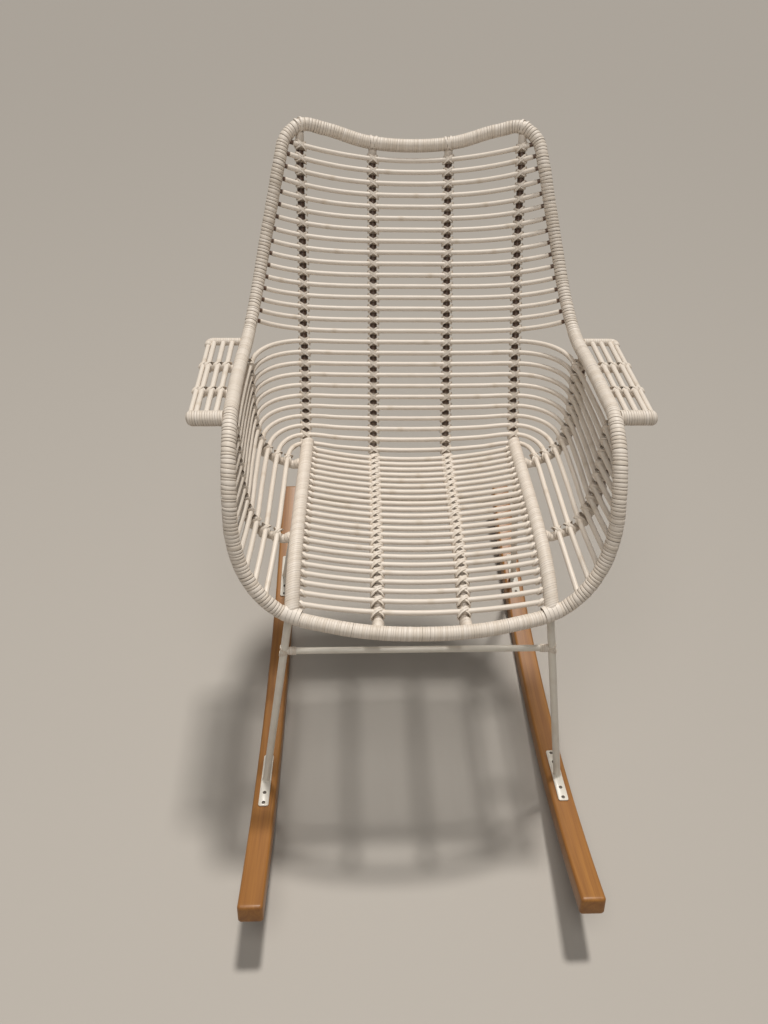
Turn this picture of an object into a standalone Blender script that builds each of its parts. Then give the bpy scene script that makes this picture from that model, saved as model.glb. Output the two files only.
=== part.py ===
"""Wicker rocking chair: a bucket seat of bent cane rods on steel legs and wooden rockers.

Units are metres. X runs to the viewer's right, Y runs to the back and Z runs up from the floor.
Left and right are as seen from the front. Each half is worked out on the right and mirrored.
"""

import math

import bmesh
import bpy
import numpy as np
from mathutils import Vector

# Fits and facets: the joints keep a small clearance, and the curves have few straight steps
CLEARANCE = 0.0003
SEAT_STEP = 0.0001
RIB_SEATING_PASSES = 6
RIM_STEPS = 2
RAIL_STEPS = 10
WALL_STEPS = 60
RIM_SIDES = 3
ROD_SIDES = 1
BAR_FACETS = 12
END_RING_POINTS = 16
CROSSING_POINTS = 40
WELD_DISTANCE = 0.00005
SHARP_ANGLE = math.radians(40)

# Poles, rods and ribs
RIM_RADIUS = 0.011
RAIL_RADIUS = 0.011
ROD_RADIUS = 0.004
RIB_RADIUS = 0.007

# Rim, measured from the datum at the rear end of the seat: run goes back, rise goes up
SEAT_HEIGHT = 0.465
SEAT_REAR_Y = 0.150
BACK_RUN = 0.304
BACK_RISE = 0.420
EAR_LIFT = 0.034
ARM_HALF_WIDTH = 0.272
ARM_RISE = 0.203
EAR_HALF_WIDTH = 0.673 * ARM_HALF_WIDTH
FRONT_REACH = 0.385
FRONT_DROP = 0.024

# Seat
RAIL_REAR_HALF_SPAN = 0.658 * ARM_HALF_WIDTH
RAIL_FRONT_HALF_SPAN = 0.695 * ARM_HALF_WIDTH
RAIL_REAR_GAP = 0.006
RAIL_LIFT = 0.030
RAIL_DIP_POWER = 6.0
SEAT_ROD_COUNT = 23
SEAT_ROD_PITCH = 0.0374 * FRONT_REACH
SEAT_ROD_INSET = 0.018
SEAT_SAG = 0.0255
SEAT_RIB_SINK = 0.0015
SEAT_RIB_INSET = 0.012
INNER_RIB_X = 0.235 * ARM_HALF_WIDTH
OUTER_RIB_X = EAR_HALF_WIDTH

# Back rods and wrap rods
BACK_ROD_COUNT = 16
WRAP_ROD_COUNT = 11
FIRST_ROD_DROP = 0.0243
BACK_ROD_TOP_SEAT = 0.437
BACK_ROD_LOW_SEAT = 0.212
WRAP_ROD_TOP_SEAT = 0.186
WRAP_ROD_LOW_SEAT = 0.009
WRAP_END_POWER = 1.2
BOW_POWER_TOP = 2.0
BOW_POWER_LOW = 5.0
WRAP_BOW = 0.006
WRAP_SAG = 0.016
CORNER_ROUNDNESS = 0.56
RIB_TAIL = 0.008

# Side walls: how they swell from rail to rim, and where their ribs stand
SIDE_SQUARENESS = 4.2
SIDE_TOP_DROP = 0.024
SIDE_LOW_START = 0.030
REAR_RIB_TOP = 0.033 * BACK_RUN
REAR_RIB_FOOT = -0.130 * FRONT_REACH
REAR_RIB_INSET = 0.0085
FRONT_RIB_TOP = -0.490 * FRONT_REACH
FRONT_RIB_FOOT = -0.590 * FRONT_REACH
FRONT_RIB_INSET = 0.005

# Armrests
ARM_FRONT_Y = -0.514 * FRONT_REACH
ARM_BACK_Y = 0.135 * BACK_RUN
ARM_FRONT_REACH = 0.0565
ARM_BACK_REACH = 0.060
ARM_BAR_RADIUS = 0.011
ARM_EDGE_RADIUS = 0.0035
ARM_CORNER_RADIUS = 0.010
ARM_SLAT_RADIUS = 0.004
ARM_SLAT_PLACES = (0.38, 0.615, 0.86)
ARM_CROSS_RADIUS = 0.004
ARM_CROSS_SINK = 0.0015
ARM_CROSS_PLACES = (0.34, 0.69)

# Rockers
ROCKER_HALF_SPAN = 0.934 * ARM_HALF_WIDTH
ROCKER_WIDTH = 0.038
ROCKER_HEIGHT = 0.032
ROCKER_RADIUS = 1.560
ROCKER_LOW_Y = 0.045
ROCKER_FRONT_Y = -0.4965
ROCKER_REAR_Y = 0.4965
ROCKER_FACET = 0.066
ROCKER_EDGE = 0.005

# Legs, foot plates and stretchers
LEG_RADIUS = 0.006
FRONT_LEG_TOP_Y = SEAT_REAR_Y - 0.836 * FRONT_REACH
FRONT_FOOT_Y = -0.253
REAR_LEG_TOP_Y = 0.105
REAR_FOOT_Y = 0.240
PLATE_LENGTH = 0.107
PLATE_WIDTH = 0.017
PLATE_THICKNESS = 0.003
STRETCHER_RADIUS = 0.005
STRETCHER_HEIGHT = 0.353

SIDES = (("left", -1), ("right", 1))


# Lines in space

def smooth_line(points, steps, closed=False):
    """Points along a smooth curve through the given ones, with the same number of steps in each span."""
    knots = np.asarray(points, dtype=float)
    count = len(knots)
    if closed:
        ring = np.vstack([knots[-1], knots, knots[:2]])
    else:
        ring = np.vstack([2 * knots[0] - knots[1], knots, 2 * knots[-1] - knots[-2]])
    gaps = np.linalg.norm(np.diff(ring, axis=0), axis=1)
    slopes = np.diff(ring, axis=0) / gaps[:, None]
    shares = (gaps[:-1] / (gaps[:-1] + gaps[1:]))[:, None]
    tangents = slopes[:-1] * (1 - shares) + slopes[1:] * shares
    t = np.linspace(0.0, 1.0, steps, endpoint=False)[:, None]
    line = []
    for i in range(count if closed else count - 1):
        start, end = ring[i + 1], ring[i + 2]
        enter = tangents[i] * gaps[i + 1]
        leave = tangents[(i + 1) % len(tangents)] * gaps[i + 1]
        line.append((2 * t**3 - 3 * t**2 + 1) * start + (t**3 - 2 * t**2 + t) * enter
                    + (3 * t**2 - 2 * t**3) * end + (t**3 - t**2) * leave)
    if not closed:
        line.append(knots[-1:])
    return np.vstack(line)


def distances(line):
    """Distance along a line at each of its points."""
    return np.concatenate([[0.0], np.cumsum(np.linalg.norm(np.diff(line, axis=0), axis=1))])


def point_at(line, distance):
    """Point on a line at a distance along it."""
    along = distances(line)
    return np.array([np.interp(distance, along, line[:, axis]) for axis in range(3)])


def direction_at(line, distance):
    """Unit direction of a line at a distance along it."""
    along = distances(line)
    i = min(max(int(np.searchsorted(along, distance)), 1), len(line) - 1)
    step = line[i] - line[i - 1]
    return step / np.linalg.norm(step)


def unit(vector):
    """A vector of length one."""
    return vector / np.linalg.norm(vector)


def reach(points, line):
    """Least distance from any of the points to a line."""
    starts, steps = line[:-1], np.diff(line, axis=0)
    offsets = points[:, None, :] - starts
    share = np.clip((offsets * steps).sum(axis=2) / (steps**2).sum(axis=1), 0.0, 1.0)
    return float(np.linalg.norm(offsets - share[..., None] * steps, axis=2).min())


def end_ring(centre, direction, radius):
    """Points round the edge of a square-cut round end."""
    side = unit(np.cross(direction, np.roll(direction, 1) + [0.0, 0.5, 1.0]))
    other = np.cross(direction, side)
    turn = np.linspace(0.0, 2 * math.pi, END_RING_POINTS, endpoint=False)[:, None]
    return centre + radius * (np.cos(turn) * side + np.sin(turn) * other)


def meet(line, radius, pole, pole_radius):
    """The line cut back from the pole that it runs into, so that its round end seats on the pole."""
    along = distances(line)
    for setback in np.arange(pole_radius, along[-1], SEAT_STEP):
        stop = along[-1] - setback
        ring = end_ring(point_at(line, stop), direction_at(line, stop), radius)
        if reach(ring, pole) >= pole_radius + CLEARANCE:
            break
    return np.vstack([line[along < stop - radius], point_at(line, stop)])


def nearest(point, line):
    """Point of a line that lies nearest to the given one."""
    steps = np.diff(line, axis=0)
    share = np.clip(((point - line[:-1]) * steps).sum(axis=1) / (steps**2).sum(axis=1), 0.0, 1.0)
    feet = line[:-1] + share[:, None] * steps
    return feet[np.linalg.norm(feet - point, axis=1).argmin()]


def mirrored(line, sign):
    """The line on the given side of the middle plane."""
    return line * np.array([sign, 1.0, 1.0])


# Rim

def rim_stations():
    """Right half of the rim as half width, run and rise, from the top rail to the front edge."""
    climb = BACK_RISE - ARM_RISE
    return (
        (0.0, BACK_RUN, BACK_RISE),
        (0.415 * EAR_HALF_WIDTH, BACK_RUN, BACK_RISE + 0.18 * EAR_LIFT),
        (0.792 * EAR_HALF_WIDTH, 0.997 * BACK_RUN, BACK_RISE + 0.76 * EAR_LIFT),
        (EAR_HALF_WIDTH, 0.974 * BACK_RUN, BACK_RISE + EAR_LIFT),
        (1.137 * EAR_HALF_WIDTH, 0.905 * BACK_RUN, BACK_RISE + 0.59 * EAR_LIFT),
        (1.191 * EAR_HALF_WIDTH, 0.819 * BACK_RUN, BACK_RISE - 0.26 * EAR_LIFT),
        (0.849 * ARM_HALF_WIDTH, 0.727 * BACK_RUN, ARM_RISE + 0.724 * climb),
        (0.908 * ARM_HALF_WIDTH, 0.599 * BACK_RUN, ARM_RISE + 0.429 * climb),
        (0.956 * ARM_HALF_WIDTH, 0.441 * BACK_RUN, ARM_RISE + 0.171 * climb),
        (0.996 * ARM_HALF_WIDTH, 0.214 * BACK_RUN, 0.985 * ARM_RISE),
        (1.007 * ARM_HALF_WIDTH, -0.083 * FRONT_REACH, 0.995 * ARM_RISE),
        (ARM_HALF_WIDTH, -0.338 * FRONT_REACH, 1.044 * ARM_RISE),
        (0.985 * ARM_HALF_WIDTH, -0.532 * FRONT_REACH, 1.079 * ARM_RISE),
        (0.982 * ARM_HALF_WIDTH, -0.647 * FRONT_REACH, 0.980 * ARM_RISE),
        (0.982 * ARM_HALF_WIDTH, -0.753 * FRONT_REACH, 0.744 * ARM_RISE),
        (0.978 * ARM_HALF_WIDTH, -0.813 * FRONT_REACH, 0.478 * ARM_RISE),
        (0.926 * ARM_HALF_WIDTH, -0.862 * FRONT_REACH, 0.222 * ARM_RISE),
        (0.849 * ARM_HALF_WIDTH, -0.896 * FRONT_REACH, 0.069 * ARM_RISE),
        (0.757 * ARM_HALF_WIDTH, -0.914 * FRONT_REACH, -0.42 * FRONT_DROP),
        (0.474 * ARM_HALF_WIDTH, -0.969 * FRONT_REACH, -0.83 * FRONT_DROP),
        (0.0, -FRONT_REACH, -FRONT_DROP),
    )


def rim_line():
    """The whole rim as a closed line that starts at the top rail and goes down the right side."""
    datum = np.array([0.0, SEAT_REAR_Y, SEAT_HEIGHT])
    half = datum + np.array(rim_stations())
    return smooth_line(np.vstack([half, mirrored(half[-2:0:-1], -1)]), RIM_STEPS, closed=True)


RIM = rim_line()
RIM_HALF = RIM[:(len(rim_stations()) - 1) * RIM_STEPS + 1]
RIM_ALONG = distances(RIM_HALF)
EAR = int(RIM_HALF[:, 2].argmax())
WIDEST = int(RIM_HALF[:, 0].argmax())
SHOULDER = WIDEST + int(RIM_HALF[WIDEST:, 2].argmax())


def rim_distance(first, last, axis, value):
    """Distance along the right half of the rim where a coordinate falls to a value, between two points."""
    stretch = RIM_HALF[first:last + 1]
    order = slice(None, None, -1)
    return float(np.interp(value, stretch[order, axis], RIM_ALONG[first:last + 1][order]))


def rim_at(distance):
    """Point and direction on the right half of the rim."""
    return point_at(RIM_HALF, distance), direction_at(RIM_HALF, distance)


def rim_over(y):
    """Point of the rim beside the seat at a place along Y, and the rim's direction there."""
    return rim_at(rim_distance(EAR, len(RIM_HALF) - 1, 1, y))


# Seat plane and back profile

RAIL_REAR_Y = SEAT_REAR_Y - RAIL_REAR_GAP


def rail_line():
    """Axis of the right seat rail: level from its rear end, then dipping to the axis of the rim."""
    front = rim_at(rim_distance(SHOULDER, len(RIM_HALF) - 1, 0, RAIL_FRONT_HALF_SPAN))[0]
    rear = np.array([RAIL_REAR_HALF_SPAN, RAIL_REAR_Y, SEAT_HEIGHT + RAIL_LIFT])
    share = np.linspace(0.0, 1.0, RAIL_STEPS + 1)[:, None]
    line = rear + (front - rear) * share
    line[:, 2] = rear[2] + (front[2] - rear[2]) * share[:, 0]**RAIL_DIP_POWER
    return line


def profile_line():
    """Middle of the back from the axis of the top rail down to the bend at the rear of the seat."""
    shape = (
        (BACK_RUN, BACK_RISE),
        (0.671 * BACK_RUN, 0.676 * BACK_RISE),
        (0.339 * BACK_RUN, 0.345 * BACK_RISE),
        (0.184 * BACK_RUN, 0.183 * BACK_RISE),
        (0.072 * BACK_RUN, 0.060 * BACK_RISE),
        (0.0, 0.014 * BACK_RISE),
    )
    return smooth_line([(0.0, SEAT_REAR_Y + run, SEAT_HEIGHT + rise) for run, rise in shape], 6)


RAIL = rail_line()
PROFILE = profile_line()
ROD_PITCH = (distances(PROFILE)[-1] - FIRST_ROD_DROP) / (BACK_ROD_COUNT + WRAP_ROD_COUNT - 1)


def rail_at(y):
    """Point on the axis of the right seat rail at a place along Y."""
    return np.array([np.interp(-y, -RAIL[:, 1], RAIL[:, axis]) for axis in range(3)])


def seat_point(x, y):
    """Place of a seat rod's axis: it hangs between the rails, lowest in the middle."""
    rail = rail_at(y)
    return np.array([x, y, rail[2] - SEAT_SAG * (1.0 - (x / rail[0])**2)])


# Rods of the back and sides; each line starts in the middle and has a point at every rib

INNER, OUTER, REAR, FRONT = 1, 3, 9, 11


def rod_middle(number):
    """Middle of a rod, counted from zero below the top rail."""
    return point_at(PROFILE, FIRST_ROD_DROP + number * ROD_PITCH)


def back_rod_line(number):
    """Right half of a rod that ends at the back edge of the rim, bowed up and forward to its end."""
    share = number / (BACK_ROD_COUNT - 1)
    top = rim_distance(EAR, WIDEST, 2, SEAT_HEIGHT + BACK_ROD_TOP_SEAT)
    low = rim_distance(EAR, WIDEST, 2, SEAT_HEIGHT + BACK_ROD_LOW_SEAT)
    end = rim_at(top + (low - top) * share)[0]
    middle = rod_middle(number)
    power = BOW_POWER_TOP + (BOW_POWER_LOW - BOW_POWER_TOP) * share
    x = np.array([0.0, INNER_RIB_X, (INNER_RIB_X + OUTER_RIB_X) / 2, OUTER_RIB_X,
                  (OUTER_RIB_X + 2 * end[0]) / 3, end[0]])
    line = middle + (end - middle) * ((x / end[0])**power)[:, None]
    line[:, 0] = x
    return meet(line, ROD_RADIUS, RIM, RIM_RADIUS)


def side_point(y, share):
    """Place of a wrap rod on the right side wall, whose top stands a little inside the rim; share goes from
    the top rod to the lowest one."""
    inset = np.interp(y - SEAT_REAR_Y, (FRONT_RIB_TOP, REAR_RIB_TOP), (FRONT_RIB_INSET, REAR_RIB_INSET))
    rim = rim_over(y)[0] - np.array([inset, 0.0, 0.0])
    rail = rail_at(y)
    turn = np.linspace(0.0, math.pi / 2, WALL_STEPS + 1)
    out, up = np.sin(turn)**(2 / SIDE_SQUARENESS), 1.0 - np.cos(turn)**(2 / SIDE_SQUARENESS)
    wall = np.column_stack([rail[0] + (rim[0] - rail[0]) * out, np.full_like(turn, y),
                            rail[2] + (rim[2] - rail[2]) * up])
    top = distances(wall)[-1] - SIDE_TOP_DROP
    return point_at(wall, top + (SIDE_LOW_START - top) * share)


def corner(start, end, steps):
    """Rounded corner that leaves along X and arrives along Y, without its first point."""
    leave = start + np.array([CORNER_ROUNDNESS * (end[0] - start[0]), 0.0, 0.0])
    arrive = end + np.array([0.0, CORNER_ROUNDNESS * (start[1] - end[1]), 0.0])
    t = np.linspace(0.0, 1.0, steps + 1)[1:, None]
    return ((1 - t)**3 * start + 3 * t * (1 - t)**2 * leave + 3 * t**2 * (1 - t) * arrive + t**3 * end)


def wrap_rod_line(number):
    """Right half of a rod that crosses the back, turns the rear corner and runs forward to the rim."""
    share = number / (WRAP_ROD_COUNT - 1)
    middle = rod_middle(BACK_ROD_COUNT + number)
    bow = WRAP_BOW * (1.0 - share)
    lift = bow + WRAP_SAG * share**3
    x = np.array([0.0, INNER_RIB_X, (INNER_RIB_X + OUTER_RIB_X) / 2, OUTER_RIB_X])
    curve = (x / OUTER_RIB_X)**2
    back = np.column_stack([x, middle[1] - bow * curve, middle[2] + lift * curve])
    rear_y = SEAT_REAR_Y + REAR_RIB_TOP + (REAR_RIB_FOOT - REAR_RIB_TOP) * share
    front_y = SEAT_REAR_Y + FRONT_RIB_TOP + (FRONT_RIB_FOOT - FRONT_RIB_TOP) * share
    turn = corner(back[-1], side_point(rear_y, share), REAR - OUTER)
    side = [side_point((rear_y + front_y) / 2, share), side_point(front_y, share)]
    top = rim_distance(SHOULDER, len(RIM_HALF) - 1, 2, SEAT_HEIGHT + WRAP_ROD_TOP_SEAT)
    low = rim_distance(SHOULDER, len(RIM_HALF) - 1, 2, SEAT_HEIGHT + WRAP_ROD_LOW_SEAT)
    end = rim_at(top + (low - top) * share**WRAP_END_POWER)[0]
    return meet(np.vstack([back, turn, side, end]), ROD_RADIUS, RIM, RIM_RADIUS)


BACK_RODS = [back_rod_line(number) for number in range(BACK_ROD_COUNT)]
WRAP_RODS = [wrap_rod_line(number) for number in range(WRAP_ROD_COUNT)]


# Ribs, lashed to the outer side of the rods

def near_crossing(rod, place):
    """Points close together on a rod, from halfway before one of its places to halfway after it."""
    before, here, after = rod[place - 1:place + 2]
    t = np.linspace(0.0, 0.5, CROSSING_POINTS)[:, None]
    return np.vstack([here + (before - here) * t, here + (after - here) * t])


def rib_behind(rods, place, outward):
    """Axis of a rib that seats on every rod at one of its named places."""
    crossings = np.array([rod[place] for rod in rods])
    runs = np.array([unit(rod[place + 1] - rod[place - 1]) for rod in rods])
    normals = np.cross(runs, np.gradient(crossings, axis=0))
    normals /= np.linalg.norm(normals, axis=1)[:, None]
    normals *= np.sign(normals @ np.asarray(outward))[:, None]
    stand_off = ROD_RADIUS + RIB_RADIUS + CLEARANCE
    rib = crossings + normals * stand_off
    for _ in range(RIB_SEATING_PASSES):
        gaps = np.array([reach(near_crossing(rod, place), rib) for rod in rods])
        rib = rib + normals * (stand_off - gaps)[:, None]
    return rib


def back_rib_line(place, foot):
    """A back rib from the top rail down behind the rods, then on along the given points of its foot."""
    rib = rib_behind(BACK_RODS + WRAP_RODS, place, (0.0, 1.0, -0.5))
    head = nearest(rib[0] + unit(rib[0] - rib[1]) * FIRST_ROD_DROP, RIM)
    tail = rib[-1] + unit(rib[-1] - rib[-2]) * RIB_TAIL
    line = np.vstack([foot if len(foot) else [tail], rib[::-1], head])
    return meet(line, RIB_RADIUS, RIM, RIM_RADIUS)


def side_rib_line(place):
    """A side rib from the rim down outside the wrap rods to the seat rail."""
    rib = rib_behind(WRAP_RODS, place, (1.0, 0.0, -0.5))
    shoulder = rib[0] + unit(rib[0] - rib[1]) * RIB_RADIUS / 2
    knee = rib[-1] + unit(rib[-1] - rib[-2]) * (ROD_RADIUS + RIB_RADIUS)
    line = meet(np.vstack([shoulder, rib, knee, nearest(knee, RAIL)]), RIB_RADIUS, RAIL, RAIL_RADIUS)
    return meet(np.vstack([line[::-1], nearest(shoulder, RIM)]), RIB_RADIUS, RIM, RIM_RADIUS)


# Making objects

PARTS, CUTTERS = "wicker_rocking_chair", "cutters"


def start_scene():
    """Empty the scene and add the two collections and the chair's own empty."""
    for old in list(bpy.data.objects):
        bpy.data.objects.remove(old, do_unlink=True)
    for name in (PARTS, CUTTERS):
        bpy.context.scene.collection.children.link(bpy.data.collections.new(name))
    root = bpy.data.objects.new("chair_origin", None)
    bpy.data.collections[PARTS].objects.link(root)
    return root


def paint(name, colour, roughness, metallic=0.0):
    """A plain Principled material."""
    material = bpy.data.materials.new(name)
    material.use_nodes = True
    shader = material.node_tree.nodes["Principled BSDF"]
    shader.inputs["Base Color"].default_value = (*colour, 1.0)
    shader.inputs["Roughness"].default_value = roughness
    shader.inputs["Metallic"].default_value = metallic
    return material


def place(obj, root, material):
    """Put an object in the chair with its material."""
    obj.data.materials.append(material)
    bpy.data.collections[PARTS].objects.link(obj)
    obj.parent = root
    return obj


def tube_curve(name, line, radius, sides, closed=False):
    """A round rod along a line, as a curve with filled ends."""
    curve = bpy.data.curves.new(name, "CURVE")
    curve.dimensions = "3D"
    curve.bevel_depth = radius
    curve.bevel_resolution = sides
    curve.use_fill_caps = not closed
    spline = curve.splines.new("POLY")
    spline.points.add(len(line) - 1)
    spline.points.foreach_set("co", np.column_stack([line, np.ones(len(line))]).ravel())
    spline.use_cyclic_u = closed
    return bpy.data.objects.new(name, curve)


def tube_mesh(name, lines, radius, sides):
    """Several round rods in one mesh, each with its ends welded shut."""
    joined = bmesh.new()
    for line in lines:
        curve = tube_curve(name, line, radius, sides)
        bpy.context.scene.collection.objects.link(curve)
        graph = bpy.context.evaluated_depsgraph_get()
        mesh = bpy.data.meshes.new_from_object(curve.evaluated_get(graph))
        joined.from_mesh(mesh)
        bpy.data.meshes.remove(mesh)
        bpy.data.curves.remove(curve.data)
    bmesh.ops.remove_doubles(joined, verts=joined.verts, dist=WELD_DISTANCE)
    bmesh.ops.recalc_face_normals(joined, faces=joined.faces)
    mesh = bpy.data.meshes.new(name)
    joined.to_mesh(mesh)
    joined.free()
    mesh.shade_smooth()
    return bpy.data.objects.new(name, mesh)


def fuse(obj, others):
    """Join other solids to an object with Boolean unions."""
    for other in others:
        bpy.data.collections[CUTTERS].objects.link(other)
        other.hide_render = True
        other.display_type = "WIRE"
        union = obj.modifiers.new("join_" + other.name, "BOOLEAN")
        union.operation = "UNION"
        union.object = other


def bar(name, start, end, radius):
    """A straight round bar between two points, turned and placed as one cylinder."""
    start, end = Vector(start), Vector(end)
    shape = bmesh.new()
    bmesh.ops.create_cone(shape, cap_ends=True, segments=BAR_FACETS, radius1=radius, radius2=radius,
                          depth=(end - start).length)
    mesh = bpy.data.meshes.new(name)
    shape.to_mesh(mesh)
    shape.free()
    mesh.shade_smooth()
    mesh.set_sharp_from_angle(angle=SHARP_ANGLE)
    obj = bpy.data.objects.new(name, mesh)
    obj.location = (start + end) / 2
    obj.rotation_mode = "QUATERNION"
    obj.rotation_quaternion = (end - start).to_track_quat("Z", "Y")
    return obj


# Bucket seat

def make_rim(root, material):
    """The wound hoop."""
    place(tube_curve("rim", RIM, RIM_RADIUS, RIM_SIDES, closed=True), root, material)


def make_rails(root, material):
    """The two wound poles under the sitter's thighs."""
    line = meet(RAIL, RAIL_RADIUS, RIM, RIM_RADIUS)
    for side, sign in SIDES:
        place(tube_curve(f"seat_rail_{side}", mirrored(line, sign), RAIL_RADIUS, RIM_SIDES), root, material)


def seat_rib_line():
    """Right seat rib under the seat rods, from the foot of the inner back rib to the rim."""
    drop = np.array([0.0, 0.0, ROD_RADIUS + RIB_RADIUS - SEAT_RIB_SINK])
    rear = RAIL_REAR_Y - SEAT_RIB_INSET
    stations = [rear] + [y for y in RAIL[:, 1] if y < rear - RIB_RADIUS]
    under = np.array([seat_point(INNER_RIB_X, y) - drop for y in stations])
    return meet(np.vstack([under, nearest(under[-1], RIM)]), RIB_RADIUS, RIM, RIM_RADIUS)


def seat_rod_line(number):
    """A whole seat rod, counted from the rear."""
    y = RAIL_REAR_Y - SEAT_ROD_INSET - number * SEAT_ROD_PITCH
    end = rail_at(y)[0]
    half = np.array([seat_point(x, y) for x in (0.0, INNER_RIB_X, (INNER_RIB_X + end) / 2, end)])
    half = meet(half, ROD_RADIUS, RAIL, RAIL_RADIUS)
    return np.vstack([mirrored(half[:0:-1], -1), half])


def make_seat_deck(root, material):
    """Seat rods from rail to rail, fused with the two ribs that carry them."""
    rods = [seat_rod_line(number) for number in range(SEAT_ROD_COUNT)]
    ribs = [tube_mesh(f"seat_rib_{side}", [mirrored(seat_rib_line(), sign)], RIB_RADIUS, ROD_SIDES)
            for side, sign in SIDES]
    deck = place(tube_mesh("seat_deck", rods, ROD_RADIUS, ROD_SIDES), root, material)
    fuse(deck, ribs)


def make_rods(root, material):
    """Back rods and wrap rods, one object each."""
    for number, half in enumerate(BACK_RODS + WRAP_RODS, start=1):
        kind = "back_rod" if number <= BACK_ROD_COUNT else "wrap_rod"
        line = np.vstack([mirrored(half[:0:-1], -1), half])
        place(tube_curve(f"{kind}_{number:02d}", line, ROD_RADIUS, ROD_SIDES), root, material)


def make_ribs(root, material):
    """Back ribs and side ribs."""
    foot = seat_rib_line()[0] + np.array([0.0, CLEARANCE, 0.0])
    heel = foot + np.array([0.0, RIB_RADIUS, 0.0])
    under = WRAP_RODS[-1][INNER] - np.array([0.0, 0.0, ROD_RADIUS + RIB_RADIUS + 2 * CLEARANCE])
    lines = {
        "back_rib_outer": back_rib_line(OUTER, []),
        "back_rib_inner": back_rib_line(INNER, [foot, heel, under]),
        "side_rib_rear": side_rib_line(REAR),
        "side_rib_front": side_rib_line(FRONT),
    }
    for name, line in lines.items():
        for side, sign in SIDES:
            place(tube_curve(f"{name}_{side}", mirrored(line, sign), RIB_RADIUS, ROD_SIDES), root, material)


# Armrests

def arm_point(y, reach_out):
    """A point beside the rim at its height, so far out from its axis."""
    return rim_over(SEAT_REAR_Y + y)[0] + np.array([reach_out, 0.0, 0.0])


def arm_edge_line():
    """Bent rod that leaves the rim as the back bar, turns the outer corner and runs to the front bar."""
    root = arm_point(ARM_BACK_Y, 0.0)
    outer = arm_point(ARM_BACK_Y, ARM_BACK_REACH)
    front = arm_point(ARM_FRONT_Y, ARM_FRONT_REACH)
    ahead = unit(front - outer)
    turn_in = outer - np.array([ARM_CORNER_RADIUS, 0.0, 0.0])
    turn_out = outer + ahead * ARM_CORNER_RADIUS
    t = np.linspace(0.0, 1.0, 6)[:, None]
    bend = (1 - t)**2 * turn_in + 2 * t * (1 - t) * outer + t**2 * turn_out
    return np.vstack([root, bend, front])


def make_armrests(root, bound, plain):
    """On each side a wound front bar, a bent edge rod and a panel of slats on cross ribs."""
    tip = ARM_FRONT_REACH + ARM_EDGE_RADIUS + CLEARANCE
    bar_line = np.array([arm_point(ARM_FRONT_Y, tip), arm_point(ARM_FRONT_Y, 0.0)])
    edge = meet(arm_edge_line(), ARM_EDGE_RADIUS, bar_line, ARM_BAR_RADIUS)
    edge = meet(edge[::-1], ARM_EDGE_RADIUS, RIM, RIM_RADIUS)
    bar_line = meet(bar_line, ARM_BAR_RADIUS, RIM, RIM_RADIUS)
    slats = []
    for share in ARM_SLAT_PLACES:
        slat = np.array([arm_point(ARM_BACK_Y, share * ARM_BACK_REACH),
                         arm_point(ARM_FRONT_Y, share * ARM_FRONT_REACH)])
        slat = meet(slat, ARM_SLAT_RADIUS, bar_line, ARM_BAR_RADIUS)
        slats.append(meet(slat[::-1], ARM_SLAT_RADIUS, edge, ARM_EDGE_RADIUS)[::-1])
    crosses = []
    for share in ARM_CROSS_PLACES:
        outer = slats[-1][0] + (slats[-1][-1] - slats[-1][0]) * share
        outer = outer - np.array([0.0, 0.0, ARM_SLAT_RADIUS + ARM_CROSS_RADIUS - ARM_CROSS_SINK])
        inner = rim_over(outer[1])[0]
        inner[2] = outer[2]
        crosses.append(meet(np.array([outer, inner]), ARM_CROSS_RADIUS, RIM, RIM_RADIUS))
    for side, sign in SIDES:
        front = mirrored(bar_line, sign)
        place(bar(f"armrest_front_bar_{side}", front[0], front[-1], ARM_BAR_RADIUS), root, bound)
        rod = tube_curve(f"armrest_edge_{side}", mirrored(edge, sign), ARM_EDGE_RADIUS, ROD_SIDES)
        place(rod, root, plain)
        panel = tube_mesh(f"armrest_slats_{side}", [mirrored(slat, sign) for slat in slats],
                          ARM_SLAT_RADIUS, ROD_SIDES)
        ribs = tube_mesh(f"armrest_cross_ribs_{side}", [mirrored(cross, sign) for cross in crosses],
                         ARM_CROSS_RADIUS, ROD_SIDES)
        fuse(place(panel, root, plain), [ribs])


# Base

def rocker_outline():
    """Side view of a rocker as Y and Z: two arcs in flat facets, the lowest one level with the floor."""
    turn = ROCKER_FACET / ROCKER_RADIUS
    front = math.asin((ROCKER_FRONT_Y - ROCKER_LOW_Y) / ROCKER_RADIUS)
    rear = math.asin((ROCKER_REAR_Y - ROCKER_LOW_Y) / ROCKER_RADIUS)
    inside = np.arange(math.ceil(front / turn) - 0.5, rear / turn, 1.0) * turn
    inside = inside[(inside > front + turn / 4) & (inside < rear - turn / 4)]
    angles = np.concatenate([[front], inside, [rear]])
    flat = ROCKER_RADIUS * math.cos(turn / 2)
    arcs = []
    for radius, order in ((ROCKER_RADIUS, 1), (ROCKER_RADIUS - ROCKER_HEIGHT, -1)):
        arc = np.column_stack([ROCKER_LOW_Y + radius * np.sin(angles), flat - radius * np.cos(angles)])
        arcs.append(arc[::order])
    return np.vstack(arcs)


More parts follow.
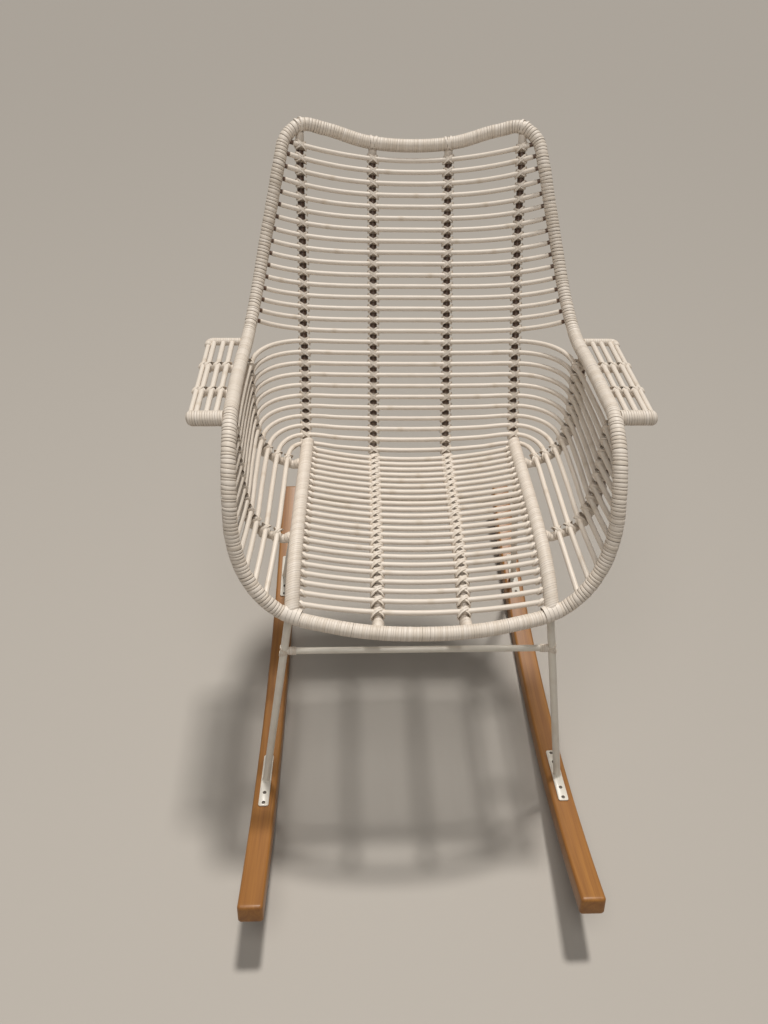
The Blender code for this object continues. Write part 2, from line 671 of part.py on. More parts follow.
def make_rockers(root, material):
    """Two bent wooden runners with rounded edges."""
    outline = rocker_outline()
    for side, sign in SIDES:
        curve = bpy.data.curves.new(f"rocker_{side}", "CURVE")
        curve.dimensions = "2D"
        curve.fill_mode = "BOTH"
        curve.extrude = ROCKER_WIDTH / 2
        spline = curve.splines.new("POLY")
        spline.points.add(len(outline) - 1)
        flat = np.column_stack([outline, np.zeros(len(outline)), np.ones(len(outline))])
        spline.points.foreach_set("co", flat.ravel())
        spline.use_cyclic_u = True
        rocker = place(bpy.data.objects.new(f"rocker_{side}", curve), root, material)
        rocker.location = (sign * ROCKER_HALF_SPAN, 0.0, 0.0)
        rocker.rotation_euler = (math.pi / 2, 0.0, math.pi / 2)
        weld = rocker.modifiers.new("weld_caps", "WELD")
        weld.merge_threshold = WELD_DISTANCE
        bevel = rocker.modifiers.new("rounded_edges", "BEVEL")
        bevel.width = ROCKER_EDGE
        bevel.segments = 2
        bevel.limit_method = "ANGLE"
        bevel.angle_limit = SHARP_ANGLE


def plate_frame(foot_y):
    """Middle of a foot plate and its tilt: its ends rest on the rocker's upper face."""
    outline = rocker_outline()
    top = outline[len(outline) // 2:][::-1]
    ends = foot_y + np.array([-0.5, 0.5]) * PLATE_LENGTH
    heights = np.interp(ends, top[:, 0], top[:, 1])
    tilt = math.atan2(heights[1] - heights[0], PLATE_LENGTH)
    lift = (CLEARANCE + PLATE_THICKNESS / 2) / math.cos(tilt)
    return np.array([ROCKER_HALF_SPAN, foot_y, heights.mean() + lift]), tilt


def make_plate(name, middle, tilt, root, material):
    """A strip of steel, lying along the rocker."""
    shape = bmesh.new()
    bmesh.ops.create_cube(shape, size=1.0)
    bmesh.ops.scale(shape, verts=shape.verts, vec=(PLATE_WIDTH, PLATE_LENGTH, PLATE_THICKNESS))
    mesh = bpy.data.meshes.new(name)
    shape.to_mesh(mesh)
    shape.free()
    plate = place(bpy.data.objects.new(name, mesh), root, material)
    plate.location = middle
    plate.rotation_euler = (tilt, 0.0, 0.0)


def leg_line(top_y, middle, tilt):
    """Axis of a right leg from the upper face of its foot plate to the underside of the seat rail."""
    top = rail_at(top_y)
    normal = np.array([0.0, -math.sin(tilt), math.cos(tilt)])
    foot = middle + normal * PLATE_THICKNESS / 2
    up = unit(top - foot)
    square = float(up @ normal)
    lift = (CLEARANCE + LEG_RADIUS * math.sqrt(1.0 - square**2)) / square
    return meet(np.array([foot + up * lift, top]), LEG_RADIUS, RAIL, RAIL_RADIUS)


def make_base(root, steel):
    """Foot plates, legs and stretchers."""
    ends = (("front", FRONT_LEG_TOP_Y, FRONT_FOOT_Y), ("rear", REAR_LEG_TOP_Y, REAR_FOOT_Y))
    for end, top_y, foot_y in ends:
        middle, tilt = plate_frame(foot_y)
        leg = leg_line(top_y, middle, tilt)
        share = (STRETCHER_HEIGHT - leg[0, 2]) / (leg[-1, 2] - leg[0, 2])
        joint = leg[0] + (leg[-1] - leg[0]) * share
        half = meet(np.array([joint * [0.0, 1.0, 1.0], joint]), STRETCHER_RADIUS, leg, LEG_RADIUS)
        place(bar(f"{end}_stretcher", mirrored(half[-1], -1), half[-1], STRETCHER_RADIUS), root, steel)
        for side, sign in SIDES:
            line = mirrored(leg, sign)
            place(bar(f"{end}_leg_{side}", line[0], line[-1], LEG_RADIUS), root, steel)
            make_plate(f"{end}_foot_plate_{side}", mirrored(middle, sign), tilt, root, steel)


def main():
    """Build the chair."""
    root = start_scene()
    cane = paint("painted_cane", (0.80, 0.76, 0.70), 0.50)
    binding = paint("cane_binding", (0.82, 0.77, 0.70), 0.55)
    steel = paint("painted_steel", (0.82, 0.80, 0.77), 0.40)
    wood = paint("varnished_wood", (0.48, 0.21, 0.055), 0.35)
    make_rim(root, binding)
    make_rails(root, binding)
    make_seat_deck(root, cane)
    make_rods(root, cane)
    make_ribs(root, cane)
    make_armrests(root, binding, cane)
    make_rockers(root, wood)
    make_base(root, steel)


main()
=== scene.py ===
"""Looks of a wicker rocking chair: wound rim, lashed cane lattice, steel legs and wooden rockers.

Units are metres. X runs to the viewer's right, Y runs to the back and Z runs up from the floor.
Left and right are as seen from the front. Each half is worked out on the right and mirrored.
"""

import math

import bpy
import numpy as np
from bpy.props import FloatProperty, FloatVectorProperty, PointerProperty
from mathutils import Matrix


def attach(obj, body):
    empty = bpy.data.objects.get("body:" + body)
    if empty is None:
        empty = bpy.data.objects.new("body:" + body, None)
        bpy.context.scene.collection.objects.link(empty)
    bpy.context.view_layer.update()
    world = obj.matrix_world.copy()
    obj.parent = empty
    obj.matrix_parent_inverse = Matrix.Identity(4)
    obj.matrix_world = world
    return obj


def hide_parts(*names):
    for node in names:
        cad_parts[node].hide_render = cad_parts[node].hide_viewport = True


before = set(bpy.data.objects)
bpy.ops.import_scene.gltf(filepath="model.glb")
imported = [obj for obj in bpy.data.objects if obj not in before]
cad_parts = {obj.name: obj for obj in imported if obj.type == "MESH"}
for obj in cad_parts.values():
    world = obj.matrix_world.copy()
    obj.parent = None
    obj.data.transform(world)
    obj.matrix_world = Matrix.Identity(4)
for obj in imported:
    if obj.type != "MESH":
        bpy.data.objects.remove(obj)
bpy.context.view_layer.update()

bl_info = {
    "name": "Wicker Rocking Chair Looks",
    "version": (1, 0, 0),
    "blender": (4, 5, 0),
    "location": "3D View > Sidebar > Wicker Chair",
    "description": "Dresses the packed frame of a wicker rocking chair",
    "category": "Object",
}

# Sizes that the solids have
CLEARANCE = 0.0003
RIM_STEPS = 2
RAIL_STEPS = 10
WALL_STEPS = 60
RIM_RADIUS = 0.011
RAIL_RADIUS = 0.011
ROD_RADIUS = 0.004
RIB_RADIUS = 0.007
SEAT_HEIGHT = 0.465
SEAT_REAR_Y = 0.150
BACK_RUN = 0.304
BACK_RISE = 0.420
EAR_LIFT = 0.034
ARM_HALF_WIDTH = 0.272
ARM_RISE = 0.203
EAR_HALF_WIDTH = 0.673 * ARM_HALF_WIDTH
FRONT_REACH = 0.385
FRONT_DROP = 0.024
RAIL_REAR_HALF_SPAN = 0.658 * ARM_HALF_WIDTH
RAIL_FRONT_HALF_SPAN = 0.695 * ARM_HALF_WIDTH
RAIL_REAR_Y = SEAT_REAR_Y - 0.006
RAIL_LIFT = 0.030
RAIL_DIP_POWER = 6.0
SEAT_ROD_COUNT = 23
SEAT_ROD_PITCH = 0.0374 * FRONT_REACH
SEAT_ROD_INSET = 0.018
SEAT_SAG = 0.0255
SEAT_RIB_SINK = 0.0015
SEAT_RIB_INSET = 0.012
INNER_RIB_X = 0.235 * ARM_HALF_WIDTH
OUTER_RIB_X = EAR_HALF_WIDTH
BACK_ROD_COUNT = 16
WRAP_ROD_COUNT = 11
FIRST_ROD_DROP = 0.0243
BACK_ROD_TOP_SEAT = 0.437
BACK_ROD_LOW_SEAT = 0.212
WRAP_ROD_TOP_SEAT = 0.186
WRAP_ROD_LOW_SEAT = 0.009
WRAP_END_POWER = 1.2
BOW_POWER_TOP = 2.0
BOW_POWER_LOW = 5.0
WRAP_BOW = 0.006
WRAP_SAG = 0.016
CORNER_ROUNDNESS = 0.56
RIB_TAIL = 0.008
SIDE_SQUARENESS = 4.2
SIDE_TOP_DROP = 0.024
SIDE_LOW_START = 0.030
REAR_RIB_TOP = 0.033 * BACK_RUN
REAR_RIB_FOOT = -0.130 * FRONT_REACH
REAR_RIB_INSET = 0.0085
FRONT_RIB_TOP = -0.490 * FRONT_REACH
FRONT_RIB_FOOT = -0.590 * FRONT_REACH
FRONT_RIB_INSET = 0.005
ARM_FRONT_Y = -0.514 * FRONT_REACH
ARM_BACK_Y = 0.135 * BACK_RUN
ARM_FRONT_REACH = 0.0565
ARM_BACK_REACH = 0.060
ARM_BAR_RADIUS = 0.011
ARM_EDGE_RADIUS = 0.0035
ARM_CORNER_RADIUS = 0.010
ARM_SLAT_RADIUS = 0.004
ARM_SLAT_PLACES = (0.38, 0.615, 0.86)
ARM_CROSS_RADIUS = 0.004
ARM_CROSS_SINK = 0.0015
ARM_CROSS_PLACES = (0.34, 0.69)
ROCKER_HALF_SPAN = 0.934 * ARM_HALF_WIDTH
ROCKER_WIDTH = 0.038
ROCKER_HEIGHT = 0.032
ROCKER_RADIUS = 1.560
ROCKER_LOW_Y = 0.045
ROCKER_FRONT_Y = -0.4965
ROCKER_REAR_Y = 0.4965
ROCKER_FACET = 0.066
ROCKER_EDGE = 0.005
LEG_RADIUS = 0.006
FRONT_LEG_TOP_Y = SEAT_REAR_Y - 0.836 * FRONT_REACH
FRONT_FOOT_Y = -0.253
REAR_LEG_TOP_Y = 0.105
REAR_FOOT_Y = 0.240
PLATE_LENGTH = 0.107
PLATE_WIDTH = 0.017
PLATE_THICKNESS = 0.003
STRETCHER_RADIUS = 0.005
STRETCHER_HEIGHT = 0.353

SIDES = (("left", -1), ("right", 1))
X_AXIS, Y_AXIS, Z_AXIS = np.eye(3)

# How finely the round shapes are drawn
SMOOTH_STEPS = 12
PROFILE_STEPS = 6
BEND_POINTS = 12
RIM_LINE_STEP = 0.004
LINE_STEP = 0.001
BAR_LINE_STEP = 0.0005
ROD_STEP = 0.005
BARE_SHADE_STEP = 0.002
STEEL_STEP = 0.01
ROD_FACETS = 14
WOUND_FACETS = 20
BAR_FACETS = 24
SCREW_FACETS = 12
SCREW_RINGS = 5
OUTLINE_POINTS = 32
STRAND_POINTS = 12
HOOP_POINTS = 20
END_STEPS = 5
ROCKER_STEPS = 120
ROCKER_EDGE_STEPS = 6
WELD_POINTS = 8
LEG_POINTS = 40
SHARP_ANGLE = math.radians(55)
ROCKER_SHARP_ANGLE = math.radians(80)

# Start of the random draws; each kind of piece adds a number of its own
SEED = 17

# How far pieces run into the ones that carry them
RIM_SLACK = 0.0004
BURY = 0.003
RIM_BURIED = RIM_RADIUS - BURY
RAIL_BURIED = RAIL_RADIUS - BURY
BAR_BURIED = ARM_BAR_RADIUS - BURY
SLAT_GAP = 0.001
STRETCHER_BURY = 0.002
LEG_BURY_STEPS = 2
SCREW_BURY = 0.0005

# Turns of flat cane: the places of a turn's rings, how uneven the turns are and how dark their gaps
TURN_PHASES = np.array([0.0, 0.05, 0.16, 0.5, 0.84, 0.95])
TURN_FLATNESS = 9
TURN_SWAY = 0.16
RIM_LOOSENESS = 0.2
RIM_UNEVENNESS = 0.5
BAR_LOOSENESS = 0.12
BAR_UNEVENNESS = 0.4
FAINTEST_GAP = 0.3
WIDE_GAP_CHANCE = 0.05
WIDE_GAP_LEAST = 0.5
RIM_OPEN_GAP = 0.95
RIM_TIGHT_GAP = 0.40
RIM_BLUR = 0.02
RIM_JOINT_REACH = 0.008
RAIL_GAP = 0.5
COLLAR_GAP = 0.5
ARM_BAR_GAP = 0.8
ARM_SLEEVE_GAP = 0.3
RAIL_LEAN = -0.35
ARM_BAR_LEAN = 0.12

# Wound ends: how far each end is rounded off, and the sizes of collars and sleeves
TIP_SHARE = 0.1
PLAIN_ROUNDINGS = (0.001, 0.001)
RAIL_ROUNDINGS = (0.003, 0.009)
COLLAR_ROUNDINGS = (0.0015, 0.0015)
ARM_BAR_ROUNDINGS = (0.008, 0.001)
ARM_SLEEVE_ROUNDINGS = (0.004, 0.001)
RAIL_COLLAR_SIZE = 0.010
RAIL_COLLAR_RADIUS = 0.0083
BAR_COLLAR_SIZE = 0.013
BAR_COLLAR_RADIUS = 0.0064
ARM_SLEEVE_RADIUS = 0.0062
ARM_COLLAR_PLACE = 0.0065
ARM_COLLAR_SIZE = 0.010
ARM_COLLAR_RADIUS = 0.0062

# Rods: the joints of the cane, the rounded ends and the dark brown patches of bare cane and painted shade
FIRST_JOINT = (0.05, 0.95)
JOINT_WIDTH = 0.0045
JOINT_SCATTER = 0.2
JOINT_MARK = 0.5
ROD_END_SHARE = 1 / 3
BARE_SHADE_THINNING = 0.12
BARE_SHADE_END = 0.004
BARE_SHADE_END_BLUR = 0.001
BARE_SHADE_BLUR = 0.0015
BACK_LOW_BARE_SHADE = 0.85
SIDE_LOW_BARE_SHADE = 0.55

# Lashings, ties and strips of split cane; ties are pairs of a shift along the pole and a lean
KNOT_REACH = 0.0042
KNOT_LOOSENESS = 1.2
KNOT_CLIMB = 1.4
KNOT_SETTLING = 0.8
KNOT_SPREAD = 0.62
KNOT_SCATTER = 0.0003
SEAT_KNOT_SCALE = 1.35
ARM_KNOT_SCALE = 0.9
ARM_EDGE_KNOT_SHARE = 0.8
SEAT_TIES = 4
SEAT_TIE_WIDTH = 0.0044
SEAT_TIE_STEP = 0.0062
SEAT_TIE_RISE = 0.005
ROD_END_TIES = ((0.0005, 0.8), (0.0035, 0.6))
LEG_TIES = ((-0.004, 0.6), (-0.001, 0.5), (0.002, -0.6), (0.004, -0.5))
RIM_TIE_LEAN = 0.4
RIM_TIE_WIDENING = 1.3
RAIL_STRIPS = 4
RAIL_STRIP_WIDTH = 0.0058
RAIL_STRIP_GAP = 0.0004
RAIL_STRIP_REACH = 0.0025

# Base; the reach of a weld bead and the places of the rings next to it count in sizes of the bead
SCREW_PLACES = (-0.444, -0.257, 0.257, 0.444)
SCREW_DOME = 0.94
PLATE_SOFT_EDGE = 0.0005
WELD_REACH = 3
WELD_END, LEG_START = 4, 6
STRETCHER_STUB = 0.1


# Settings

def linear(colour):
    """Linear red, green and blue of an sRGB hex colour."""
    shares = [int(colour[i:i + 2], 16) / 255.0 for i in (1, 3, 5)]
    return tuple(s / 12.92 if s <= 0.04045 else ((s + 0.055) / 1.055)**2.4 for s in shares)


def length(name, description, default):
    """A length setting in metres."""
    return FloatProperty(name=name, description=description, default=default, min=0.0, unit="LENGTH",
                         precision=5)


def colour(name, description, default):
    """A colour setting from an sRGB hex value."""
    return FloatVectorProperty(name=name, description=description, default=linear(default), size=3,
                               min=0.0, max=1.0, subtype="COLOR")


class CaneSizes(bpy.types.PropertyGroup):
    """Sizes of the flat cane and of the lashings."""

    open_turn: length("Open turn", "Width of a turn of flat cane round the bends and up the back", 0.0056)
    tight_turn: length("Tight turn", "Width of a turn along the arms and the front edge", 0.0037)
    fine_turn: length("Fine turn", "Width of a turn on the rails, armrest bars and collars", 0.0036)
    open_ridge: length("Open ridge", "How far the middle of an open turn stands above its edges", 0.0010)
    tight_ridge: length("Tight ridge", "The same on a tight turn", 0.00035)
    fine_ridge: length("Fine ridge", "The same on a fine turn", 0.0002)
    strand_width: length("Strand width", "Width of a lashing strand", 0.0024)
    strand_thickness: length("Strand thickness", "Thickness of a lashing strand", 0.0011)
    joint_spacing: length("Joint spacing", "Usual distance between the joints of a cane rod", 0.29)
    joint_swell: length("Joint swell", "How far a joint stands above the rod", 0.00025)


class BaseSizes(bpy.types.PropertyGroup):
    """Sizes of the small parts of the base."""

    weld: length("Weld", "Size of the weld bead at the foot of a leg", 0.0022)
    plate_corner: length("Plate corner", "Corner radius of a foot plate", 0.0035)
    screw_radius: length("Screw radius", "Radius of a screw head", 0.0032)
    screw_height: length("Screw height", "Height of a screw head", 0.0013)


class Finishes(bpy.types.PropertyGroup):
    """Colours of the finishes."""

    paint: colour("Paint", "Satin paint on the cane", "#E0D6CA")
    paint_shade: colour("Paint shade", "Paint that has gone thin between the fibres", "#C9BBA9")
    gap: colour("Gap", "Dirt and shade between the turns of the winding", "#4E3D30")
    # Dark brown of bare cane, also used as painted shade: the patches between the knots and the rod ends at
    # the rim.
    bare_and_shade: colour("Bare cane", "Bare brown cane between the knots", "#5A4334")
    enamel: colour("Enamel", "Enamel on the steel legs", "#E2DCD0")
    wood: colour("Wood", "Varnished wood of the rockers", "#A06C2E")
    wood_dark: colour("Wood grain", "Dark grain of the rockers", "#744519")
    screw: colour("Screw", "Blackened screws", "#3A3430")
    screw_worn: colour("Worn screw", "Bright spots on the screws", "#6B6259")


class Stage(bpy.types.PropertyGroup):
    """Light and floor."""

    floor: colour("Floor", "Plain pale floor", "#B0AAA2")
    key: FloatProperty(name="Key", description="Strength of the light from above", default=2.45, min=0.0)
    fill: FloatProperty(name="Fill", description="Power of the front lamp", default=36.0, min=0.0,
                        unit="POWER")
    sky: FloatProperty(name="Sky", description="Strength of the even light from all round", default=0.10,
                       min=0.0)


class WickerChair(bpy.types.PropertyGroup):
    """All settings of the chair."""

    cane: PointerProperty(type=CaneSizes)
    base: PointerProperty(type=BaseSizes)
    finish: PointerProperty(type=Finishes)
    stage: PointerProperty(type=Stage)


def settings():
    """The settings of the present scene."""
    return bpy.context.scene.wicker_chair


# Lines in space

def smooth_line(points, steps, closed=False):
    """Points along a smooth curve through the given ones: a cubic in each span, with the slope at each
    point the mean of its two spans' slopes, weighted by the other span's length."""
    knots = np.asarray(points, dtype=float)
    count = len(knots)
    if closed:
        ring = np.vstack([knots[-1], knots, knots[:2]])
    else:
        ring = np.vstack([2 * knots[0] - knots[1], knots, 2 * knots[-1] - knots[-2]])
    gaps = np.linalg.norm(np.diff(ring, axis=0), axis=1)
    slopes = np.diff(ring, axis=0) / gaps[:, None]
    shares = (gaps[:-1] / (gaps[:-1] + gaps[1:]))[:, None]
    tangents = slopes[:-1] * (1 - shares) + slopes[1:] * shares
    t = np.linspace(0.0, 1.0, steps, endpoint=False)[:, None]
    line = []
    for i in range(count if closed else count - 1):
        start, end = ring[i + 1], ring[i + 2]
        enter = tangents[i] * gaps[i + 1]
        leave = tangents[(i + 1) % len(tangents)] * gaps[i + 1]
        line.append((2 * t**3 - 3 * t**2 + 1) * start + (t**3 - 2 * t**2 + t) * enter
                    + (3 * t**2 - 2 * t**3) * end + (t**3 - t**2) * leave)
    if not closed:
        line.append(knots[-1:])
    return np.vstack(line)


def distances(line):
    """Distance along a line at each of its points."""
    return np.concatenate([[0.0], np.cumsum(np.linalg.norm(np.diff(line, axis=0), axis=1))])


def points_at(line, where):
    """Points on a line at distances along it."""
    along = distances(line)
    return np.stack([np.interp(where, along, line[:, axis]) for axis in range(3)], axis=-1)


def even(line, step):
    """The line again, with points about a step apart."""
    whole = distances(line)[-1]
    return points_at(line, np.linspace(0.0, whole, max(2, round(whole / step) + 1)))


def unit(vectors):
    """Vectors of length one."""
    return vectors / np.linalg.norm(vectors, axis=-1, keepdims=True)


def headings(line):
    """Unit direction at each point of a line."""
    return unit(np.gradient(line, axis=0))


def square_to(vectors, ahead):
    """Unit vectors along the parts of the given ones that are square to a direction."""
    return unit(vectors - (vectors * ahead).sum(axis=-1, keepdims=True) * ahead)


def loop_headings(line):
    """Unit direction at each point of a closed line."""
    return unit(np.roll(line, -1, axis=0) - np.roll(line, 1, axis=0))


def circle(points):
    """Angles of points that lie evenly round a circle."""
    return np.linspace(0.0, 2 * math.pi, points, endpoint=False)


def gaps_between(line, points):
    """Distance from each point of a line to each of some points."""
    return np.linalg.norm(line[:, None, :] - points, axis=2)


def nearest(point, line):
    """Point of a line that lies nearest to the given one."""
    steps = np.diff(line, axis=0)
    share = np.clip(((point - line[:-1]) * steps).sum(axis=1) / (steps**2).sum(axis=1), 0.0, 1.0)
    feet = line[:-1] + share[:, None] * steps
    return feet[np.linalg.norm(feet - point, axis=1).argmin()]


def cut_at(line, pole, gap):
    """The line without the end that comes nearer than a gap to the axis of the pole that it runs into."""
    clear = gaps_between(line, pole).min(axis=1) >= gap
    return line[:np.flatnonzero(clear)[-1] + 1]


def cut_between(line, first, first_gap, last, last_gap):
    """The line without the ends that come nearer than the gaps to the poles that it runs between."""
    return cut_at(cut_at(line, last, last_gap)[::-1], first, first_gap)[::-1]


def fine_line(points):
    """A smooth line through the points, with points a short step apart."""
    return even(smooth_line(points, SMOOTH_STEPS), LINE_STEP)


def mirrored(line, sign):
    """The line on the given side of the middle plane."""
    return line * np.array([sign, 1.0, 1.0])


def whole(half):
    """A line and its mirror image, joined at its first point in the middle plane."""
    return np.vstack([mirrored(half[:0:-1], -1), half])


# Rim, rails and back profile

def rim_stations():
    """Right half of the rim as half width, run and rise, from the top rail to the front edge."""
    climb = BACK_RISE - ARM_RISE
    return (
        (0.0, BACK_RUN, BACK_RISE),
        (0.415 * EAR_HALF_WIDTH, BACK_RUN, BACK_RISE + 0.18 * EAR_LIFT),
        (0.792 * EAR_HALF_WIDTH, 0.997 * BACK_RUN, BACK_RISE + 0.76 * EAR_LIFT),
        (EAR_HALF_WIDTH, 0.974 * BACK_RUN, BACK_RISE + EAR_LIFT),
        (1.137 * EAR_HALF_WIDTH, 0.905 * BACK_RUN, BACK_RISE + 0.59 * EAR_LIFT),
        (1.191 * EAR_HALF_WIDTH, 0.819 * BACK_RUN, BACK_RISE - 0.26 * EAR_LIFT),
        (0.849 * ARM_HALF_WIDTH, 0.727 * BACK_RUN, ARM_RISE + 0.724 * climb),
        (0.908 * ARM_HALF_WIDTH, 0.599 * BACK_RUN, ARM_RISE + 0.429 * climb),
        (0.956 * ARM_HALF_WIDTH, 0.441 * BACK_RUN, ARM_RISE + 0.171 * climb),
        (0.996 * ARM_HALF_WIDTH, 0.214 * BACK_RUN, 0.985 * ARM_RISE),
        (1.007 * ARM_HALF_WIDTH, -0.083 * FRONT_REACH, 0.995 * ARM_RISE),
        (ARM_HALF_WIDTH, -0.338 * FRONT_REACH, 1.044 * ARM_RISE),
        (0.985 * ARM_HALF_WIDTH, -0.532 * FRONT_REACH, 1.079 * ARM_RISE),
        (0.982 * ARM_HALF_WIDTH, -0.647 * FRONT_REACH, 0.980 * ARM_RISE),
        (0.982 * ARM_HALF_WIDTH, -0.753 * FRONT_REACH, 0.744 * ARM_RISE),
        (0.978 * ARM_HALF_WIDTH, -0.813 * FRONT_REACH, 0.478 * ARM_RISE),
        (0.926 * ARM_HALF_WIDTH, -0.862 * FRONT_REACH, 0.222 * ARM_RISE),
        (0.849 * ARM_HALF_WIDTH, -0.896 * FRONT_REACH, 0.069 * ARM_RISE),
        (0.757 * ARM_HALF_WIDTH, -0.914 * FRONT_REACH, -0.42 * FRONT_DROP),
        (0.474 * ARM_HALF_WIDTH, -0.969 * FRONT_REACH, -0.83 * FRONT_DROP),
        (0.0, -FRONT_REACH, -FRONT_DROP),
    )


def rim_line(steps):
    """The whole rim as a closed line that starts at the top rail and goes down the right side."""
    half = np.array([0.0, SEAT_REAR_Y, SEAT_HEIGHT]) + np.array(rim_stations())
    return smooth_line(np.vstack([half, mirrored(half[-2:0:-1], -1)]), steps, closed=True)


RIM = rim_line(SMOOTH_STEPS)
RIM_HALF = rim_line(RIM_STEPS)[:(len(rim_stations()) - 1) * RIM_STEPS + 1]
RIM_ALONG = distances(RIM_HALF)
EAR = int(RIM_HALF[:, 2].argmax())
WIDEST = int(RIM_HALF[:, 0].argmax())
SHOULDER = WIDEST + int(RIM_HALF[WIDEST:, 2].argmax())
LAST = len(RIM_HALF) - 1


def rim_distance(first, last, axis, value):
    """Distance along the right half of the rim where a coordinate falls to a value, between two points."""
    stretch = RIM_HALF[first:last + 1][::-1, axis]
    return float(np.interp(value, stretch, RIM_ALONG[first:last + 1][::-1]))


def rim_at(distance):
    """Point on the right half of the rim."""
    return points_at(RIM_HALF, distance)


def rim_seat(first, last, rises, share):
    """Point of the rim, between two of its points, a share of the way from one height over the seat to
    another."""
    top, low = (rim_distance(first, last, 2, SEAT_HEIGHT + rise) for rise in rises)
    return rim_at(top + (low - top) * share)


def rim_over(y):
    """Point of the rim beside the seat at a place along Y."""
    return rim_at(rim_distance(EAR, LAST, 1, y))


def rail_line():
    """Axis of the right seat rail: level from its rear end, then dipping to the axis of the rim."""
    front = rim_at(rim_distance(SHOULDER, LAST, 0, RAIL_FRONT_HALF_SPAN))
    rear = np.array([RAIL_REAR_HALF_SPAN, RAIL_REAR_Y, SEAT_HEIGHT + RAIL_LIFT])
    share = np.linspace(0.0, 1.0, RAIL_STEPS + 1)[:, None]
    line = rear + (front - rear) * share
    line[:, 2] = rear[2] + (front[2] - rear[2]) * share[:, 0]**RAIL_DIP_POWER
    return line


def profile_line():
    """Middle of the back from the axis of the top rail down to the bend at the rear of the seat."""
    shape = (
        (BACK_RUN, BACK_RISE),
        (0.671 * BACK_RUN, 0.676 * BACK_RISE),
        (0.339 * BACK_RUN, 0.345 * BACK_RISE),
        (0.184 * BACK_RUN, 0.183 * BACK_RISE),
        (0.072 * BACK_RUN, 0.060 * BACK_RISE),
        (0.0, 0.014 * BACK_RISE),
    )
    return smooth_line([(0.0, SEAT_REAR_Y + run, SEAT_HEIGHT + rise) for run, rise in shape],
                       PROFILE_STEPS)


RAIL = rail_line()
RAIL_SMOOTH = smooth_line(RAIL, SMOOTH_STEPS)
PROFILE = profile_line()
ROD_PITCH = (distances(PROFILE)[-1] - FIRST_ROD_DROP) / (BACK_ROD_COUNT + WRAP_ROD_COUNT - 1)


def rail_at(y):
    """Point on the axis of the right seat rail at a place along Y."""
    return np.array([np.interp(-y, -RAIL[:, 1], RAIL[:, axis]) for axis in range(3)])


def seat_point(x, y):
    """Place of a seat rod's axis: it hangs between the rails, lowest in the middle."""
    rail = rail_at(y)
    return np.array([x, y, rail[2] - SEAT_SAG * (1.0 - (x / rail[0])**2)])


# Rods of the back and sides; each line starts in the middle and has a point at every rib

INNER, OUTER, REAR, FRONT = 1, 3, 9, 11


def rod_middle(number):
    """Middle of a rod, counted from zero below the top rail."""
    return points_at(PROFILE, FIRST_ROD_DROP + number * ROD_PITCH)


def back_rod_line(number):
    """Right half of a rod that ends at the back edge of the rim, bowed up and forward to its end."""
    share = number / (BACK_ROD_COUNT - 1)
    end = rim_seat(EAR, WIDEST, (BACK_ROD_TOP_SEAT, BACK_ROD_LOW_SEAT), share)
    middle = rod_middle(number)
    power = BOW_POWER_TOP + (BOW_POWER_LOW - BOW_POWER_TOP) * share
    x = np.array([0.0, INNER_RIB_X, (INNER_RIB_X + OUTER_RIB_X) / 2, OUTER_RIB_X,
                  (OUTER_RIB_X + 2 * end[0]) / 3, end[0]])
    line = middle + (end - middle) * ((x / end[0])**power)[:, None]
    line[:, 0] = x
    return line


def side_point(y, share):
    """Place of a wrap rod on the right side wall, whose top stands a little inside the rim; share goes from
    the top rod to the lowest one."""
    inset = np.interp(y - SEAT_REAR_Y, (FRONT_RIB_TOP, REAR_RIB_TOP), (FRONT_RIB_INSET, REAR_RIB_INSET))
    rim, rail = rim_over(y) - inset * X_AXIS, rail_at(y)
    turn = np.linspace(0.0, math.pi / 2, WALL_STEPS + 1)
    out, up = np.sin(turn)**(2 / SIDE_SQUARENESS), 1.0 - np.cos(turn)**(2 / SIDE_SQUARENESS)
    wall = np.column_stack([rail[0] + (rim[0] - rail[0]) * out, np.full_like(turn, y),
                            rail[2] + (rim[2] - rail[2]) * up])
    top = distances(wall)[-1] - SIDE_TOP_DROP
    return points_at(wall, top + (SIDE_LOW_START - top) * share)


def corner(start, end, steps):
    """Rounded corner that leaves along X and arrives along Y, without its first point."""
    leave = start + CORNER_ROUNDNESS * (end[0] - start[0]) * X_AXIS
    arrive = end + CORNER_ROUNDNESS * (start[1] - end[1]) * Y_AXIS
    t = np.linspace(0.0, 1.0, steps + 1)[1:, None]
    return (1 - t)**3 * start + 3 * t * (1 - t)**2 * leave + 3 * t**2 * (1 - t) * arrive + t**3 * end


def wrap_rod_line(number):
    """Right half of a rod that crosses the back, turns the rear corner and runs forward to the rim."""
    share = number / (WRAP_ROD_COUNT - 1)
    middle = rod_middle(BACK_ROD_COUNT + number)
    bow = WRAP_BOW * (1.0 - share)
    lift = bow + WRAP_SAG * share**3
    x = np.array([0.0, INNER_RIB_X, (INNER_RIB_X + OUTER_RIB_X) / 2, OUTER_RIB_X])
    curve = (x / OUTER_RIB_X)**2
    back = np.column_stack([x, middle[1] - bow * curve, middle[2] + lift * curve])
    rear_y = SEAT_REAR_Y + REAR_RIB_TOP + (REAR_RIB_FOOT - REAR_RIB_TOP) * share
    front_y = SEAT_REAR_Y + FRONT_RIB_TOP + (FRONT_RIB_FOOT - FRONT_RIB_TOP) * share
    turn = corner(back[-1], side_point(rear_y, share), REAR - OUTER)
    side = [side_point((rear_y + front_y) / 2, share), side_point(front_y, share)]
    end = rim_seat(SHOULDER, LAST, (WRAP_ROD_TOP_SEAT, WRAP_ROD_LOW_SEAT), share**WRAP_END_POWER)
    return np.vstack([back, turn, side, end])


BACK_RODS = [back_rod_line(number) for number in range(BACK_ROD_COUNT)]
WRAP_RODS = [wrap_rod_line(number) for number in range(WRAP_ROD_COUNT)]


# Ribs, lashed to the outer side of the rods

